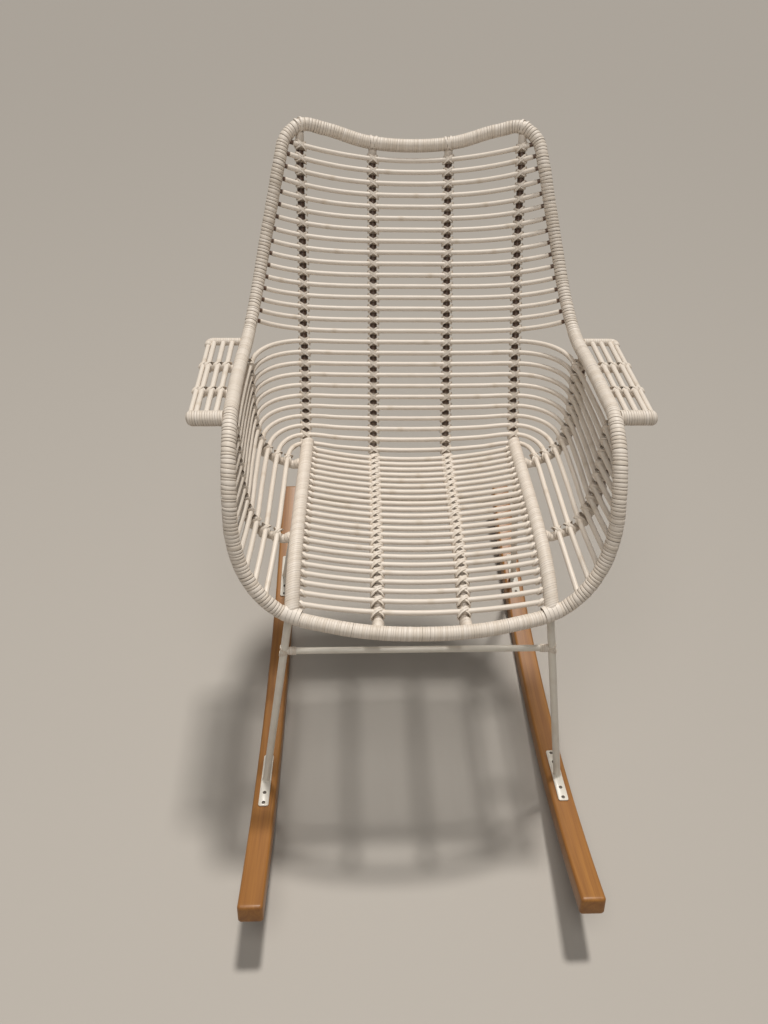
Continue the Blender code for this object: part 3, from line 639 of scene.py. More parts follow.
def crossings(rods, place, outward):
    """Where a rib crosses the rods: the rods' points and directions there, and the outward normals."""
    points = np.array([rod[place] for rod in rods])
    runs = np.array([unit(rod[place + 1] - rod[place - 1]) for rod in rods])
    normals = unit(np.cross(runs, np.gradient(points, axis=0)))
    normals *= np.sign(normals @ np.asarray(outward))[:, None]
    return points, runs, normals


def rib_points(points, normals):
    """Points of a rib that touches the rods at their crossings."""
    return points + normals * (ROD_RADIUS + RIB_RADIUS + CLEARANCE)


BACK_OUTWARD = (0.0, 1.0, -0.5)
SIDE_OUTWARD = (1.0, 0.0, -0.5)
SEAT_DROP = (ROD_RADIUS + RIB_RADIUS - SEAT_RIB_SINK) * Z_AXIS


def seat_rib_line():
    """Right seat rib under the seat rods, from the foot of the inner back rib to the axis of the rim."""
    rear = RAIL_REAR_Y - SEAT_RIB_INSET
    stations = [rear] + [y for y in RAIL[:, 1] if y < rear - RIB_RADIUS]
    under = np.array([seat_point(INNER_RIB_X, y) - SEAT_DROP for y in stations])
    return np.vstack([under, nearest(under[-1], RIM)])


def back_rib_line(place, foot):
    """A back rib from its foot up behind the rods to the axis of the top rail."""
    points, _, normals = crossings(BACK_RODS + WRAP_RODS, place, BACK_OUTWARD)
    rib = rib_points(points, normals)
    head = nearest(rib[0] + unit(rib[0] - rib[1]) * FIRST_ROD_DROP, RIM)
    tail = rib[-1] + unit(rib[-1] - rib[-2]) * RIB_TAIL
    return np.vstack([foot if len(foot) else [tail], rib[::-1], head])


def side_rib_line(place):
    """A side rib from the axis of the seat rail up outside the wrap rods to the axis of the rim."""
    points, _, normals = crossings(WRAP_RODS, place, SIDE_OUTWARD)
    rib = rib_points(points, normals)
    shoulder = rib[0] + unit(rib[0] - rib[1]) * RIB_RADIUS / 2
    knee = rib[-1] + unit(rib[-1] - rib[-2]) * (ROD_RADIUS + RIB_RADIUS)
    return np.vstack([nearest(knee, RAIL), knee, rib[::-1], shoulder, nearest(shoulder, RIM)])


def inner_foot():
    """Foot of an inner back rib: under the lowest rod, then forward to the rear end of the seat rib."""
    foot = seat_rib_line()[0]
    under = WRAP_RODS[-1][INNER] - (ROD_RADIUS + RIB_RADIUS + 2 * CLEARANCE) * Z_AXIS
    return np.array([foot, foot + RIB_RADIUS * Y_AXIS, under])


def seat_rod_y(number):
    """Place along Y of a seat rod, counted from the rear."""
    return RAIL_REAR_Y - SEAT_ROD_INSET - number * SEAT_ROD_PITCH


def seat_rod_half(number):
    """Right half of a seat rod, counted from the rear, up to the axis of the rail."""
    y = seat_rod_y(number)
    end = rail_at(y)[0]
    return np.array([seat_point(x, y) for x in (0.0, INNER_RIB_X, (INNER_RIB_X + end) / 2, end)])


RIB_KINDS = (
    ("back_rib_outer", BACK_RODS + WRAP_RODS, OUTER, BACK_OUTWARD),
    ("back_rib_inner", BACK_RODS + WRAP_RODS, INNER, BACK_OUTWARD),
    ("side_rib_rear", WRAP_RODS, REAR, SIDE_OUTWARD),
    ("side_rib_front", WRAP_RODS, FRONT, SIDE_OUTWARD),
)


# Armrests and base

def arm_point(y, reach_out):
    """A point beside the rim at its height, so far out from its axis."""
    return rim_over(SEAT_REAR_Y + y) + reach_out * X_AXIS


def arm_edge_line():
    """Bent rod that leaves the rim as the back bar, turns the outer corner and runs to the front bar."""
    outer = arm_point(ARM_BACK_Y, ARM_BACK_REACH)
    front = arm_point(ARM_FRONT_Y, ARM_FRONT_REACH)
    turn_in = outer - ARM_CORNER_RADIUS * X_AXIS
    turn_out = outer + unit(front - outer) * ARM_CORNER_RADIUS
    t = np.linspace(0.0, 1.0, BEND_POINTS)[:, None]
    bend = (1 - t)**2 * turn_in + 2 * t * (1 - t) * outer + t**2 * turn_out
    return np.vstack([arm_point(ARM_BACK_Y, 0.0), bend, front])


def arm_slat_lines():
    """Slats of the right armrest, each from the back bar to the front bar."""
    return [np.array([arm_point(ARM_BACK_Y, share * ARM_BACK_REACH),
                      arm_point(ARM_FRONT_Y, share * ARM_FRONT_REACH)]) for share in ARM_SLAT_PLACES]


def arm_cross_lines():
    """Cross ribs under the right slats, each from the edge rod to the rim."""
    outer_slat, edge = arm_slat_lines()[-1], arm_edge_line()[-2:]
    ahead = unit(outer_slat[-1] - outer_slat[0])
    first = outer_slat[0] + ahead * 2 * ARM_EDGE_RADIUS
    last = outer_slat[-1] - ahead * ARM_BAR_RADIUS
    lines = []
    for share in ARM_CROSS_PLACES:
        under = first + (last - first) * share
        under = under - (ARM_SLAT_RADIUS + ARM_CROSS_RADIUS - ARM_CROSS_SINK) * Z_AXIS
        along = (under[1] - edge[0, 1]) / (edge[1, 1] - edge[0, 1])
        outer, inner = edge[0] + (edge[1] - edge[0]) * along, rim_over(under[1])
        outer[2] = inner[2] = under[2]
        lines.append(np.array([outer, inner]))
    return lines


ROCKER_FLAT = ROCKER_RADIUS * math.cos(ROCKER_FACET / ROCKER_RADIUS / 2)


def rocker_point(angle, height):
    """Y and Z on a rocker: an angle from its lowest point, and a height above its running face."""
    radius = ROCKER_FLAT - height
    return np.stack([ROCKER_LOW_Y + radius * np.sin(angle), ROCKER_FLAT - radius * np.cos(angle)], axis=-1)


def plate_frame(foot_y):
    """Middle of a right foot plate and its tilt along the rocker's upper face."""
    ends = foot_y + np.array([-0.5, 0.5]) * PLATE_LENGTH
    turns = np.arcsin((ends - ROCKER_LOW_Y) / (ROCKER_FLAT - ROCKER_HEIGHT))
    heights = rocker_point(turns, ROCKER_HEIGHT)[:, 1]
    tilt = math.atan2(heights[1] - heights[0], PLATE_LENGTH)
    lift = PLATE_THICKNESS / 2 / math.cos(tilt)
    return np.array([ROCKER_HALF_SPAN, foot_y, heights.mean() + lift]), tilt


def leg_line(top_y, middle, tilt):
    """Axis of a right leg from the upper face of its foot plate to the axis of the seat rail."""
    normal = np.array([0.0, -math.sin(tilt), math.cos(tilt)])
    return np.array([middle + normal * PLATE_THICKNESS / 2, rail_at(top_y)])


BASE_ENDS = (("front", FRONT_LEG_TOP_Y, FRONT_FOOT_Y), ("rear", REAR_LEG_TOP_Y, REAR_FOOT_Y))


# Surfaces: rings of points along lines

def rings(line, radius, facets, across, ahead=None):
    """Round surface along a line: at each point a circle of the radius, square to the line, that starts
    on the side that the across vector points to. Point = line + radius (cos a side + sin a other)."""
    ahead = headings(line) if ahead is None else ahead
    side = square_to(np.broadcast_to(across, line.shape), ahead)
    other = np.cross(ahead, side)
    a = circle(facets)[:, None]
    spread = np.cos(a) * side[:, None, :] + np.sin(a) * other[:, None, :]
    return line[:, None, :] + np.reshape(radius, (-1, 1, 1)) * spread


def rounded_ends(line, radius, rounding):
    """Radius along a line that closes in a quarter circle over the rounding at both ends."""
    along = distances(line)
    near = np.clip(np.minimum(along, along[-1] - along) / rounding, 0.0, 1.0)
    return radius - rounding * (1.0 - np.sqrt(1.0 - (1.0 - near)**2))


def end_steps(line, rounding):
    """The line with extra points close to its two ends, for rounded ends."""
    along = distances(line)
    close = rounding * (1.0 - np.cos(np.linspace(0.0, math.pi / 2, END_STEPS)))[:-1]
    inside = along[(along > rounding) & (along < along[-1] - rounding)]
    return points_at(line, np.concatenate([close, [rounding], inside, [along[-1] - rounding],
                                           (along[-1] - close)[::-1]]))


class Skin:
    """Rings of points gathered from several surfaces, to be put into one mesh."""

    def __init__(self):
        self.points, self.faces, self.places, self.marks, self.grains = [], [], [], [], []
        self.count = 0

    def add(self, grid, along, loop=False, marks=0.0, twist=0, grain=None):
        """Quads join each ring to the next one. A loop joins its last ring to its first, with a twist of
        so many rings at the seam, and any other surface gets a flat cap at each end."""
        rows, sides = grid.shape[:2]
        row = np.arange(rows if loop else rows - 1)[:, None]
        column = np.arange(sides)[None, :]
        shift = np.where(column == sides - 1, twist, 0)
        beside = (column + 1) % sides
        quads = np.stack(np.broadcast_arrays(
            row * sides + column, (row - shift) % rows * sides + beside,
            (row + 1 - shift) % rows * sides + beside, (row + 1) % rows * sides + column), axis=-1)
        here, there = along[row], along[row + 1]
        left, right = column / sides, (column + 1) / sides
        u = np.stack(np.broadcast_arrays(here, here, there, there, left)[:4], axis=-1)
        v = np.stack(np.broadcast_arrays(left, right, right, left, here)[:4], axis=-1)
        self.faces += (quads.reshape(-1, 4) + self.count).tolist()
        self.places.append(np.stack([u, v], axis=-1).reshape(-1, 2))
        if not loop:
            first = np.arange(sides)
            self.faces.append((first[::-1] + self.count).tolist())
            self.faces.append((first + (rows - 1) * sides + self.count).tolist())
            edge = first / sides
            self.places.append(np.column_stack([np.full(sides, along[0]), edge[::-1]]))
            self.places.append(np.column_stack([np.full(sides, along[rows - 1]), edge]))
        self.points.append(grid.reshape(-1, 3))
        self.marks.append(np.broadcast_to(np.reshape(marks, (-1, 1)), (rows, sides)).ravel())
        self.grains.append(np.zeros((rows * sides, 3)) if grain is None else grain.reshape(-1, 3))
        self.count += rows * sides

    def put(self, name, material, nodes=(), sharp=SHARP_ANGLE):
        """Makes the piece, rides it on the chair and hides its CAD nodes."""
        mesh = bpy.data.meshes.new(name)
        mesh.from_pydata(np.vstack(self.points), [], self.faces)
        mesh.uv_layers.new(name="cane").uv.foreach_set("vector", np.vstack(self.places).ravel())
        mark = mesh.attributes.new("mark", "FLOAT", "POINT")
        mark.data.foreach_set("value", np.concatenate(self.marks).astype(np.float32))
        grain = mesh.attributes.new("grain", "FLOAT_VECTOR", "POINT")
        grain.data.foreach_set("vector", np.vstack(self.grains).astype(np.float32).ravel())
        mesh.shade_smooth()
        mesh.set_sharp_from_angle(angle=sharp)
        mesh.materials.append(material)
        piece = bpy.data.objects.new(name, mesh)
        bpy.context.scene.collection.objects.link(piece)
        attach(piece, "root")
        if nodes:
            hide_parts(*nodes)
        return piece


def turn_shape(turns, chance, looseness):
    """Edges of turns, counted in turns and each a little off its place, and the rings between them."""
    edges = np.arange(turns + 1.0)
    edges[1:-1] += chance.uniform(-looseness, looseness, turns - 1)
    return edges, (edges[:-1, None] + np.diff(edges)[:, None] * TURN_PHASES).ravel()


def turn_drops(turns, chance, unevenness):
    """How far each ring of a winding lies below the middle of its turn, in ridges: |2 phase - 1|^9 and a
    little more that differs from turn to turn."""
    uneven = chance.uniform(0.0, unevenness, (turns, 1))
    return (np.abs(2 * TURN_PHASES - 1)**TURN_FLATNESS + uneven).ravel()


def turn_counts(turns):
    """Place of each ring of a winding and of its end, counted in turns."""
    return np.append((np.arange(turns)[:, None] + TURN_PHASES).ravel(), turns)


def turn_marks(gaps):
    """How dark the gap nearest to each ring of a winding is; gaps has one more than there are turns."""
    half = len(TURN_PHASES) // 2
    before, after = (np.repeat(g[:, None], half, axis=1) for g in (gaps[:-1], gaps[1:]))
    return np.hstack([before, after]).ravel()


def wound_loop(skin, line, radius, turn, ridge, gaps, outward, seed):
    """A closed line wound with flat cane, as a helix. Turn, ridge and gaps give the width of a turn, how far
    it stands above its edges and how dark its gaps are, at each point of the line. A ring follows one turn
    round the line: it lies at its turn's edge + its phase of the way to the next edge, less the share of the
    circle gone round, and sways a little: tilt sin a + bow (1 - cos a) / 2. Radius = radius - ridge drop."""
    closed = np.vstack([line, line[:1]])
    along = distances(closed)
    turn, ridge, gaps = (np.append(v, v[0]) for v in (turn, ridge, gaps))
    count = np.concatenate([[0.0], np.cumsum(2 * np.diff(along) / (turn[:-1] + turn[1:]))])
    turns = int(round(count[-1]))
    count *= turns / count[-1]
    chance = np.random.default_rng(seed)
    edges, place = turn_shape(turns, chance, RIM_LOOSENESS)
    a = circle(WOUND_FACETS)
    slack = chance.uniform(-TURN_SWAY, TURN_SWAY, (turns + 1, 2))
    slack[-1] = slack[0]
    tilt, bow = (np.interp(place, edges, slack[:, i])[:, None] for i in range(2))
    sway = tilt * np.sin(a) + bow * (1.0 - np.cos(a)) / 2
    where = np.interp((place[:, None] + sway - a / (2 * math.pi)) % turns, count, along)
    ahead = loop_headings(line)
    side = square_to(outward, ahead)
    side, other = (np.vstack([v, v[:1]]) for v in (side, np.cross(ahead, side)))
    centre, side, other = (np.stack([np.interp(where, along, v[:, axis]) for axis in range(3)], axis=-1)
                           for v in (closed, side, other))
    drop = turn_drops(turns, chance, RIM_UNEVENNESS)
    size = radius - np.interp(place % turns, count, ridge) * drop
    dark = np.interp(edges, count, gaps) * chance.uniform(FAINTEST_GAP, 1.0, turns + 1)
    wide = chance.uniform(WIDE_GAP_LEAST, 1.0, turns + 1)
    dark = np.maximum(dark, wide * (chance.uniform(size=turns + 1) < WIDE_GAP_CHANCE))
    dark[-1] = dark[0]
    spread = np.cos(a)[:, None] * unit(side) + np.sin(a)[:, None] * unit(other)
    skin.add(centre + size[:, None, None] * spread, turn_counts(turns), loop=True, marks=turn_marks(dark),
             twist=len(TURN_PHASES))


def wound_bar(skin, line, radius, turn, ridge, across, gap, seed, roundings=PLAIN_ROUNDINGS, lean=0.0):
    """An open line wound with flat cane: rings as in a wound loop, but each in one plane, that leans from
    square to the line by lean radius cos a. At each end the radius closes in a quarter circle, radius -
    rounding (1 - sqrt(1 - (1 - d / rounding)^2))."""
    along = distances(line)[-1]
    turns = max(2, int(round(along / turn)))
    chance = np.random.default_rng(seed)
    _, place = turn_shape(turns, chance, BAR_LOOSENESS)
    place = np.append(place, turns) / turns * along
    size = radius - ridge * np.append(turn_drops(turns, chance, BAR_UNEVENNESS), 1.0)
    for away, rounding in ((place, roundings[0]), (along - place, roundings[1])):
        near = np.clip(1.0 - away / rounding, 0.0, 1.0)
        size = size - rounding * (1.0 - np.sqrt(1.0 - near**2))
    dark = gap * chance.uniform(FAINTEST_GAP, 1.0, turns + 1)
    path, size = points_at(line, place), np.maximum(size, TIP_SHARE * radius)
    slant = lean * size[:, None, None] * np.cos(circle(WOUND_FACETS))[:, None] * headings(path)[:, None, :]
    skin.add(rings(path, size, WOUND_FACETS, across) + slant, turn_counts(turns),
             marks=np.append(turn_marks(dark), dark[-1]))


def collar(skin, line, middle, size, radius, across, seed):
    """A short winding of fine cane on a rod, its middle so far from the rod's first point."""
    sizes = settings().cane
    stretch = points_at(line, np.array([middle - size / 2, middle, middle + size / 2]))
    wound_bar(skin, stretch, radius, sizes.fine_turn, sizes.tight_ridge, across, COLLAR_GAP, seed,
              COLLAR_ROUNDINGS)


def cane_rod(skin, line, radius, across, seed, bare_and_shade=None):
    """A round cane rod along a line: a circle carried along it, that swells a little at the cane's joints as
    a bell curve, radius + swell exp(-(d / width)^2). The last argument gives the share of dark brown at each
    of its points, bare cane and painted shade, where the rod is thinner. Its mark is half for a joint and
    full for that dark brown."""
    sizes = settings().cane
    rounding = ROD_END_SHARE * radius
    path = end_steps(even(line, ROD_STEP if bare_and_shade is None else BARE_SHADE_STEP), rounding)
    along = distances(path)
    chance = np.random.default_rng(seed)
    spots = np.arange(chance.uniform(*FIRST_JOINT) * sizes.joint_spacing, along[-1], sizes.joint_spacing)
    spots = spots + chance.uniform(-JOINT_SCATTER, JOINT_SCATTER, len(spots)) * sizes.joint_spacing
    bells = np.exp(-((along[:, None] - spots) / JOINT_WIDTH)**2).sum(axis=1)
    dark_share = np.zeros_like(along) if bare_and_shade is None else bare_and_shade(path)
    size = rounded_ends(path, radius, rounding) + sizes.joint_swell * bells
    skin.add(rings(path, size * (1.0 - BARE_SHADE_THINNING * dark_share), ROD_FACETS, across), along,
             marks=np.maximum(JOINT_MARK * np.clip(bells, 0.0, 1.0), dark_share))


def strand(skin, loop_points, faces_out, width, thickness, tone):
    """A flat strand along a closed line: a rectangle, its wide side facing out, carried round the line."""
    ahead = loop_headings(loop_points)
    out = square_to(faces_out, ahead)
    beside = np.cross(ahead, out)
    corners = np.array([(0.5, 0.5), (-0.5, 0.5), (-0.5, -0.5), (0.5, -0.5)])
    grid = (loop_points[:, None, :] - corners[:, :1] * width * beside[:, None, :]
            + corners[:, 1:] * thickness * out[:, None, :])
    skin.add(grid, np.linspace(0.0, 1.0, len(loop_points) + 1), loop=True, marks=tone)


def lashing(skin, rod_point, rod_run, rib_point, rib_run, rod_radius, rib_radius, seed, scale=1.0):
    """Two pairs of strands crossed over a rod and round the rib behind it. Each strand is a leaning ellipse:
    along the rod = half width cos a, normal = middle + half depth sin a, and along the rib = climb cos a,
    where the climb clears the rod and settles to less at the rib."""
    width, thickness = settings().cane.strand_width * scale, settings().cane.strand_thickness * scale
    chance = np.random.default_rng(seed)
    depth = float(np.linalg.norm(rib_point - rod_point))
    normal = unit(rib_point - rod_point)
    run, rise = square_to(rod_run, normal), square_to(rib_run, normal)
    a = circle(STRAND_POINTS)[:, None]
    for layer, lean in enumerate((1.0, -1.0)):
        lift = (0.5 + layer) * thickness
        half_depth = (rod_radius + depth + rib_radius) / 2 + lift
        half_width = KNOT_LOOSENESS * rib_radius + lift
        back = (depth + rib_radius - rod_radius) / 2 + half_depth * np.sin(a)
        climb = (KNOT_CLIMB * rod_radius + lift) * (1.0 - KNOT_SETTLING * np.clip(back / depth, 0.0, 1.0))
        for offset in (-KNOT_SPREAD, KNOT_SPREAD):
            slide = offset * width + chance.uniform(-KNOT_SCATTER, KNOT_SCATTER)
            points = (rod_point + normal * back + run * half_width * np.cos(a)
                      + rise * (lean * climb * np.cos(a) + slide))
            faces_out = normal * np.sin(a) / half_depth + run * np.cos(a) / half_width
            strand(skin, points, faces_out, width, thickness, chance.uniform(0.0, 1.0))


def hoop(skin, centre, ahead, towards, radius, lean, width, tone, stretch=0.0):
    """A strand round a pole, in a plane that leans from square to it: an ellipse whose one half axis is the
    radius, across, and whose other, towards, is longer by half the stretch and runs along the pole too, as
    tan lean. Its centre lies half the stretch towards."""
    sizes = settings().cane
    towards = square_to(towards, ahead)
    across = np.cross(ahead, towards)
    reach = radius + sizes.strand_thickness / 2
    a = circle(HOOP_POINTS)[:, None]
    long = reach + stretch / 2
    points = (centre + towards * stretch / 2 + long * np.cos(a) * towards + reach * np.sin(a) * across
              + long * math.tan(lean) * np.cos(a) * ahead)
    faces_out = np.cos(a) / long * towards + np.sin(a) / reach * across
    strand(skin, points, faces_out, width, sizes.strand_thickness, tone)


# Materials

def node(tree, kind, values=(), **options):
    """Adds a shader node with its options, and fills its inputs with values or with other nodes' outputs."""
    made = tree.nodes.new(kind)
    for key, value in options.items():
        setattr(made, key, value)
    for key, value in dict(values).items():
        if isinstance(value, bpy.types.NodeSocket):
            tree.links.new(value, made.inputs[key])
        else:
            made.inputs[key].default_value = value
    return made


def new_material(name):
    """An empty material with its tree and its Principled shader."""
    material = bpy.data.materials.new(name)
    material.use_nodes = True
    tree = material.node_tree
    shader = tree.nodes["Principled BSDF"]
    return material, tree, shader


MIX_FACTOR, MIX_A, MIX_B, MIX_RESULT = 0, 6, 7, 2


def cane_paint():
    """Rattan core sprayed with satin off-white paint. The eye sees a soft sheen, faint fibres along the rod,
    joints where the paint is thinner, and dark brown between the knots and at the rod ends: bare cane and
    painted shade. The fibres are 0.4 mm wide, drawn 2 mm wide to show."""
    finish = settings().finish
    material, tree, shader = new_material("painted_rattan")
    place = node(tree, "ShaderNodeUVMap", uv_map="cane")
    fibres = node(tree, "ShaderNodeMapping", {"Vector": place.outputs[0], "Scale": (30.0, 12.0, 1.0)})
    streak = node(tree, "ShaderNodeTexNoise", {"Vector": fibres.outputs[0], "Scale": 1.0, "Detail": 3.0})
    spread = node(tree, "ShaderNodeMapRange", {"Value": streak.outputs["Fac"], "From Min": 0.42,
                                               "From Max": 0.78, "To Min": 0.0, "To Max": 0.55})
    tint = node(tree, "ShaderNodeMix", {MIX_FACTOR: spread.outputs[0], MIX_A: (*finish.paint, 1.0),
                                        MIX_B: (*finish.paint_shade, 1.0)}, data_type="RGBA")
    mark = node(tree, "ShaderNodeAttribute", attribute_name="mark")
    joint = node(tree, "ShaderNodeMapRange", {"Value": mark.outputs["Fac"], "From Min": 0.0,
                                              "From Max": JOINT_MARK, "To Min": 0.0, "To Max": 0.7})
    dulled = node(tree, "ShaderNodeMix", {MIX_FACTOR: joint.outputs[0], MIX_A: tint.outputs[MIX_RESULT],
                                          MIX_B: (*finish.paint_shade, 1.0)}, data_type="RGBA")
    # Where the mark is over a half the rod goes dark brown: bare cane and painted shade.
    bare_and_shade_share = node(tree, "ShaderNodeMapRange", {"Value": mark.outputs["Fac"], "From Min": JOINT_MARK,
                                             "From Max": 0.9})
    bare_and_shaded = node(tree, "ShaderNodeMix", {MIX_FACTOR: bare_and_shade_share.outputs[0], MIX_A: dulled.outputs[MIX_RESULT],
                                           MIX_B: (*finish.bare_and_shade, 1.0)}, data_type="RGBA")
    tree.links.new(bare_and_shaded.outputs[MIX_RESULT], shader.inputs["Base Color"])
    bump = node(tree, "ShaderNodeBump", {"Height": streak.outputs["Fac"], "Strength": 0.25,
                                         "Distance": 0.0004})
    tree.links.new(bump.outputs[0], shader.inputs["Normal"])
    shader.inputs["Roughness"].default_value = 0.46
    shader.inputs["IOR"].default_value = 1.48
    return material


def winding_paint():
    """Flat cane peel wound tightly and painted over. The eye sees turns of slightly different tone, dark
    lines between them as far as their marks say, and fine fibres along each strip, 0.3 mm wide, drawn 1 mm
    wide to show."""
    finish = settings().finish
    material, tree, shader = new_material("painted_cane_peel")
    place = node(tree, "ShaderNodeUVMap", uv_map="cane")
    parts = node(tree, "ShaderNodeSeparateXYZ", {0: place.outputs[0]})
    number = node(tree, "ShaderNodeMath", {0: parts.outputs[0]}, operation="FLOOR")
    chance = node(tree, "ShaderNodeTexWhiteNoise", {"W": number.outputs[0]}, noise_dimensions="1D")
    phase = node(tree, "ShaderNodeMath", {0: parts.outputs[0]}, operation="FRACT")
    middle = node(tree, "ShaderNodeMath", {0: phase.outputs[0], 1: 0.5}, operation="SUBTRACT")
    edge = node(tree, "ShaderNodeMath", {0: middle.outputs[0]}, operation="ABSOLUTE")
    fibres = node(tree, "ShaderNodeMapping", {"Vector": place.outputs[0], "Scale": (6.0, 5.0, 1.0)})
    streak = node(tree, "ShaderNodeTexNoise", {"Vector": fibres.outputs[0], "Scale": 1.0, "Detail": 3.0})
    mixed = node(tree, "ShaderNodeMath", {0: chance.outputs["Value"], 1: streak.outputs["Fac"]},
                 operation="MULTIPLY")
    tint = node(tree, "ShaderNodeMix", {MIX_FACTOR: mixed.outputs[0], MIX_A: (*finish.paint, 1.0),
                                        MIX_B: (*finish.paint_shade, 1.0)}, data_type="RGBA")
    mark = node(tree, "ShaderNodeAttribute", attribute_name="mark")
    wander = node(tree, "ShaderNodeMapRange", {"Value": streak.outputs["Fac"], "From Min": 0.35,
                                               "From Max": 0.6, "To Min": 0.4, "To Max": 1.0})
    line = node(tree, "ShaderNodeMapRange", {"Value": edge.outputs[0], "From Min": 0.37, "From Max": 0.45})
    depth = node(tree, "ShaderNodeMath", {0: line.outputs[0], 1: mark.outputs["Fac"]}, operation="MULTIPLY")
    gap = node(tree, "ShaderNodeMath", {0: depth.outputs[0], 1: wander.outputs[0]}, operation="MULTIPLY")
    shown = node(tree, "ShaderNodeMix", {MIX_FACTOR: gap.outputs[0], MIX_A: tint.outputs[MIX_RESULT],
                                         MIX_B: (*finish.gap, 1.0)}, data_type="RGBA")
    tree.links.new(shown.outputs[MIX_RESULT], shader.inputs["Base Color"])
    bump = node(tree, "ShaderNodeBump", {"Height": streak.outputs["Fac"], "Strength": 0.2,
                                         "Distance": 0.0003})
    tree.links.new(bump.outputs[0], shader.inputs["Normal"])
    shader.inputs["Roughness"].default_value = 0.5
    shader.inputs["IOR"].default_value = 1.48
    return material


def strand_paint():
    """Split cane strands, painted with the rods. The eye sees strips of slightly different tone, with a
    thinner coat in spots 5 mm apart."""
    finish = settings().finish
    material, tree, shader = new_material("painted_cane_strand")
    mark = node(tree, "ShaderNodeAttribute", attribute_name="mark")
    spot = node(tree, "ShaderNodeTexCoord")
    grime = node(tree, "ShaderNodeTexNoise", {"Vector": spot.outputs["Object"], "Scale": 220.0,
                                              "Detail": 2.0})
    amount = node(tree, "ShaderNodeMath", {0: mark.outputs["Fac"], 1: grime.outputs["Fac"]},
                  operation="MULTIPLY")
    tint = node(tree, "ShaderNodeMix", {MIX_FACTOR: amount.outputs[0], MIX_A: (*finish.paint, 1.0),
                                        MIX_B: (*finish.paint_shade, 1.0)}, data_type="RGBA")
    tree.links.new(tint.outputs[MIX_RESULT], shader.inputs["Base Color"])
    shader.inputs["Roughness"].default_value = 0.5
    shader.inputs["IOR"].default_value = 1.48
    return material


def enamel_paint():
    """Enamelled steel: a sprayed coat with a slight orange peel, 2 mm from bump to bump, and duller clouds
    30 mm wide."""
    finish = settings().finish
    material, tree, shader = new_material("enamelled_steel")
    spot = node(tree, "ShaderNodeTexCoord")
    peel = node(tree, "ShaderNodeTexNoise", {"Vector": spot.outputs["Object"], "Scale": 500.0, "Detail": 2.0})
    wear = node(tree, "ShaderNodeTexNoise", {"Vector": spot.outputs["Object"], "Scale": 35.0, "Detail": 4.0})
    share = node(tree, "ShaderNodeMapRange", {"Value": wear.outputs["Fac"], "From Min": 0.5, "From Max": 0.8,
                                              "To Min": 0.0, "To Max": 0.5})
    tint = node(tree, "ShaderNodeMix", {MIX_FACTOR: share.outputs[0], MIX_A: (*finish.enamel, 1.0),
                                        MIX_B: (*finish.paint_shade, 1.0)}, data_type="RGBA")
    tree.links.new(tint.outputs[MIX_RESULT], shader.inputs["Base Color"])
    bump = node(tree, "ShaderNodeBump", {"Height": peel.outputs["Fac"], "Strength": 0.15,
                                         "Distance": 0.0002})
    tree.links.new(bump.outputs[0], shader.inputs["Normal"])
    shader.inputs["Roughness"].default_value = 0.34
    shader.inputs["IOR"].default_value = 1.52
    return material


def varnished_wood():
    """Bent hardwood under clear varnish. The eye sees long grain, 1.5 to 3 mm wide, that follows the bend,
    warmer and darker bands 14 mm wide, and a thin coat of satin varnish."""
    finish = settings().finish
    material, tree, shader = new_material("varnished_hardwood")
    place = node(tree, "ShaderNodeAttribute", attribute_name="grain")
    fine = node(tree, "ShaderNodeMapping", {"Vector": place.outputs["Vector"], "Scale": (420.0, 9.0, 420.0)})
    grain = node(tree, "ShaderNodeTexNoise", {"Vector": fine.outputs[0], "Scale": 1.0, "Detail": 5.0,
                                              "Roughness": 0.6})
    broad = node(tree, "ShaderNodeMapping", {"Vector": place.outputs["Vector"], "Scale": (70.0, 2.2, 70.0)})
    bands = node(tree, "ShaderNodeTexNoise", {"Vector": broad.outputs[0], "Scale": 1.0, "Detail": 3.0,
                                              "Distortion": 0.6})
    share = node(tree, "ShaderNodeMapRange", {"Value": grain.outputs["Fac"], "From Min": 0.45,
                                              "From Max": 0.75, "To Min": 0.0, "To Max": 0.5})
    cloud = node(tree, "ShaderNodeMapRange", {"Value": bands.outputs["Fac"], "From Min": 0.35,
                                              "From Max": 0.75, "To Min": 0.0, "To Max": 0.7})
    warm = node(tree, "ShaderNodeMix", {MIX_FACTOR: cloud.outputs[0], MIX_A: (*finish.wood, 1.0),
                                        MIX_B: (*finish.wood_dark, 1.0)}, data_type="RGBA")
    shown = node(tree, "ShaderNodeMix", {MIX_FACTOR: share.outputs[0], MIX_A: warm.outputs[MIX_RESULT],
                                         MIX_B: (*finish.wood_dark, 1.0)}, data_type="RGBA")
    tree.links.new(shown.outputs[MIX_RESULT], shader.inputs["Base Color"])
    bump = node(tree, "ShaderNodeBump", {"Height": grain.outputs["Fac"], "Strength": 0.12,
                                         "Distance": 0.0003})
    tree.links.new(bump.outputs[0], shader.inputs["Normal"])
    shader.inputs["Roughness"].default_value = 0.48
    shader.inputs["Coat Weight"].default_value = 0.15
    shader.inputs["Coat Roughness"].default_value = 0.30
    return material


def blackened_steel():
    """Blackened screw heads: dark, mostly metal, worn brighter in spots 1 mm wide."""
    finish = settings().finish
    material, tree, shader = new_material("blackened_steel")
    spot = node(tree, "ShaderNodeTexCoord")
    wear = node(tree, "ShaderNodeTexNoise", {"Vector": spot.outputs["Object"], "Scale": 900.0, "Detail": 2.0})
    tint = node(tree, "ShaderNodeMix", {MIX_FACTOR: wear.outputs["Fac"], MIX_A: (*finish.screw, 1.0),
                                        MIX_B: (*finish.screw_worn, 1.0)}, data_type="RGBA")
    tree.links.new(tint.outputs[MIX_RESULT], shader.inputs["Base Color"])
    shader.inputs["Metallic"].default_value = 0.7
    shader.inputs["Roughness"].default_value = 0.45
    return material


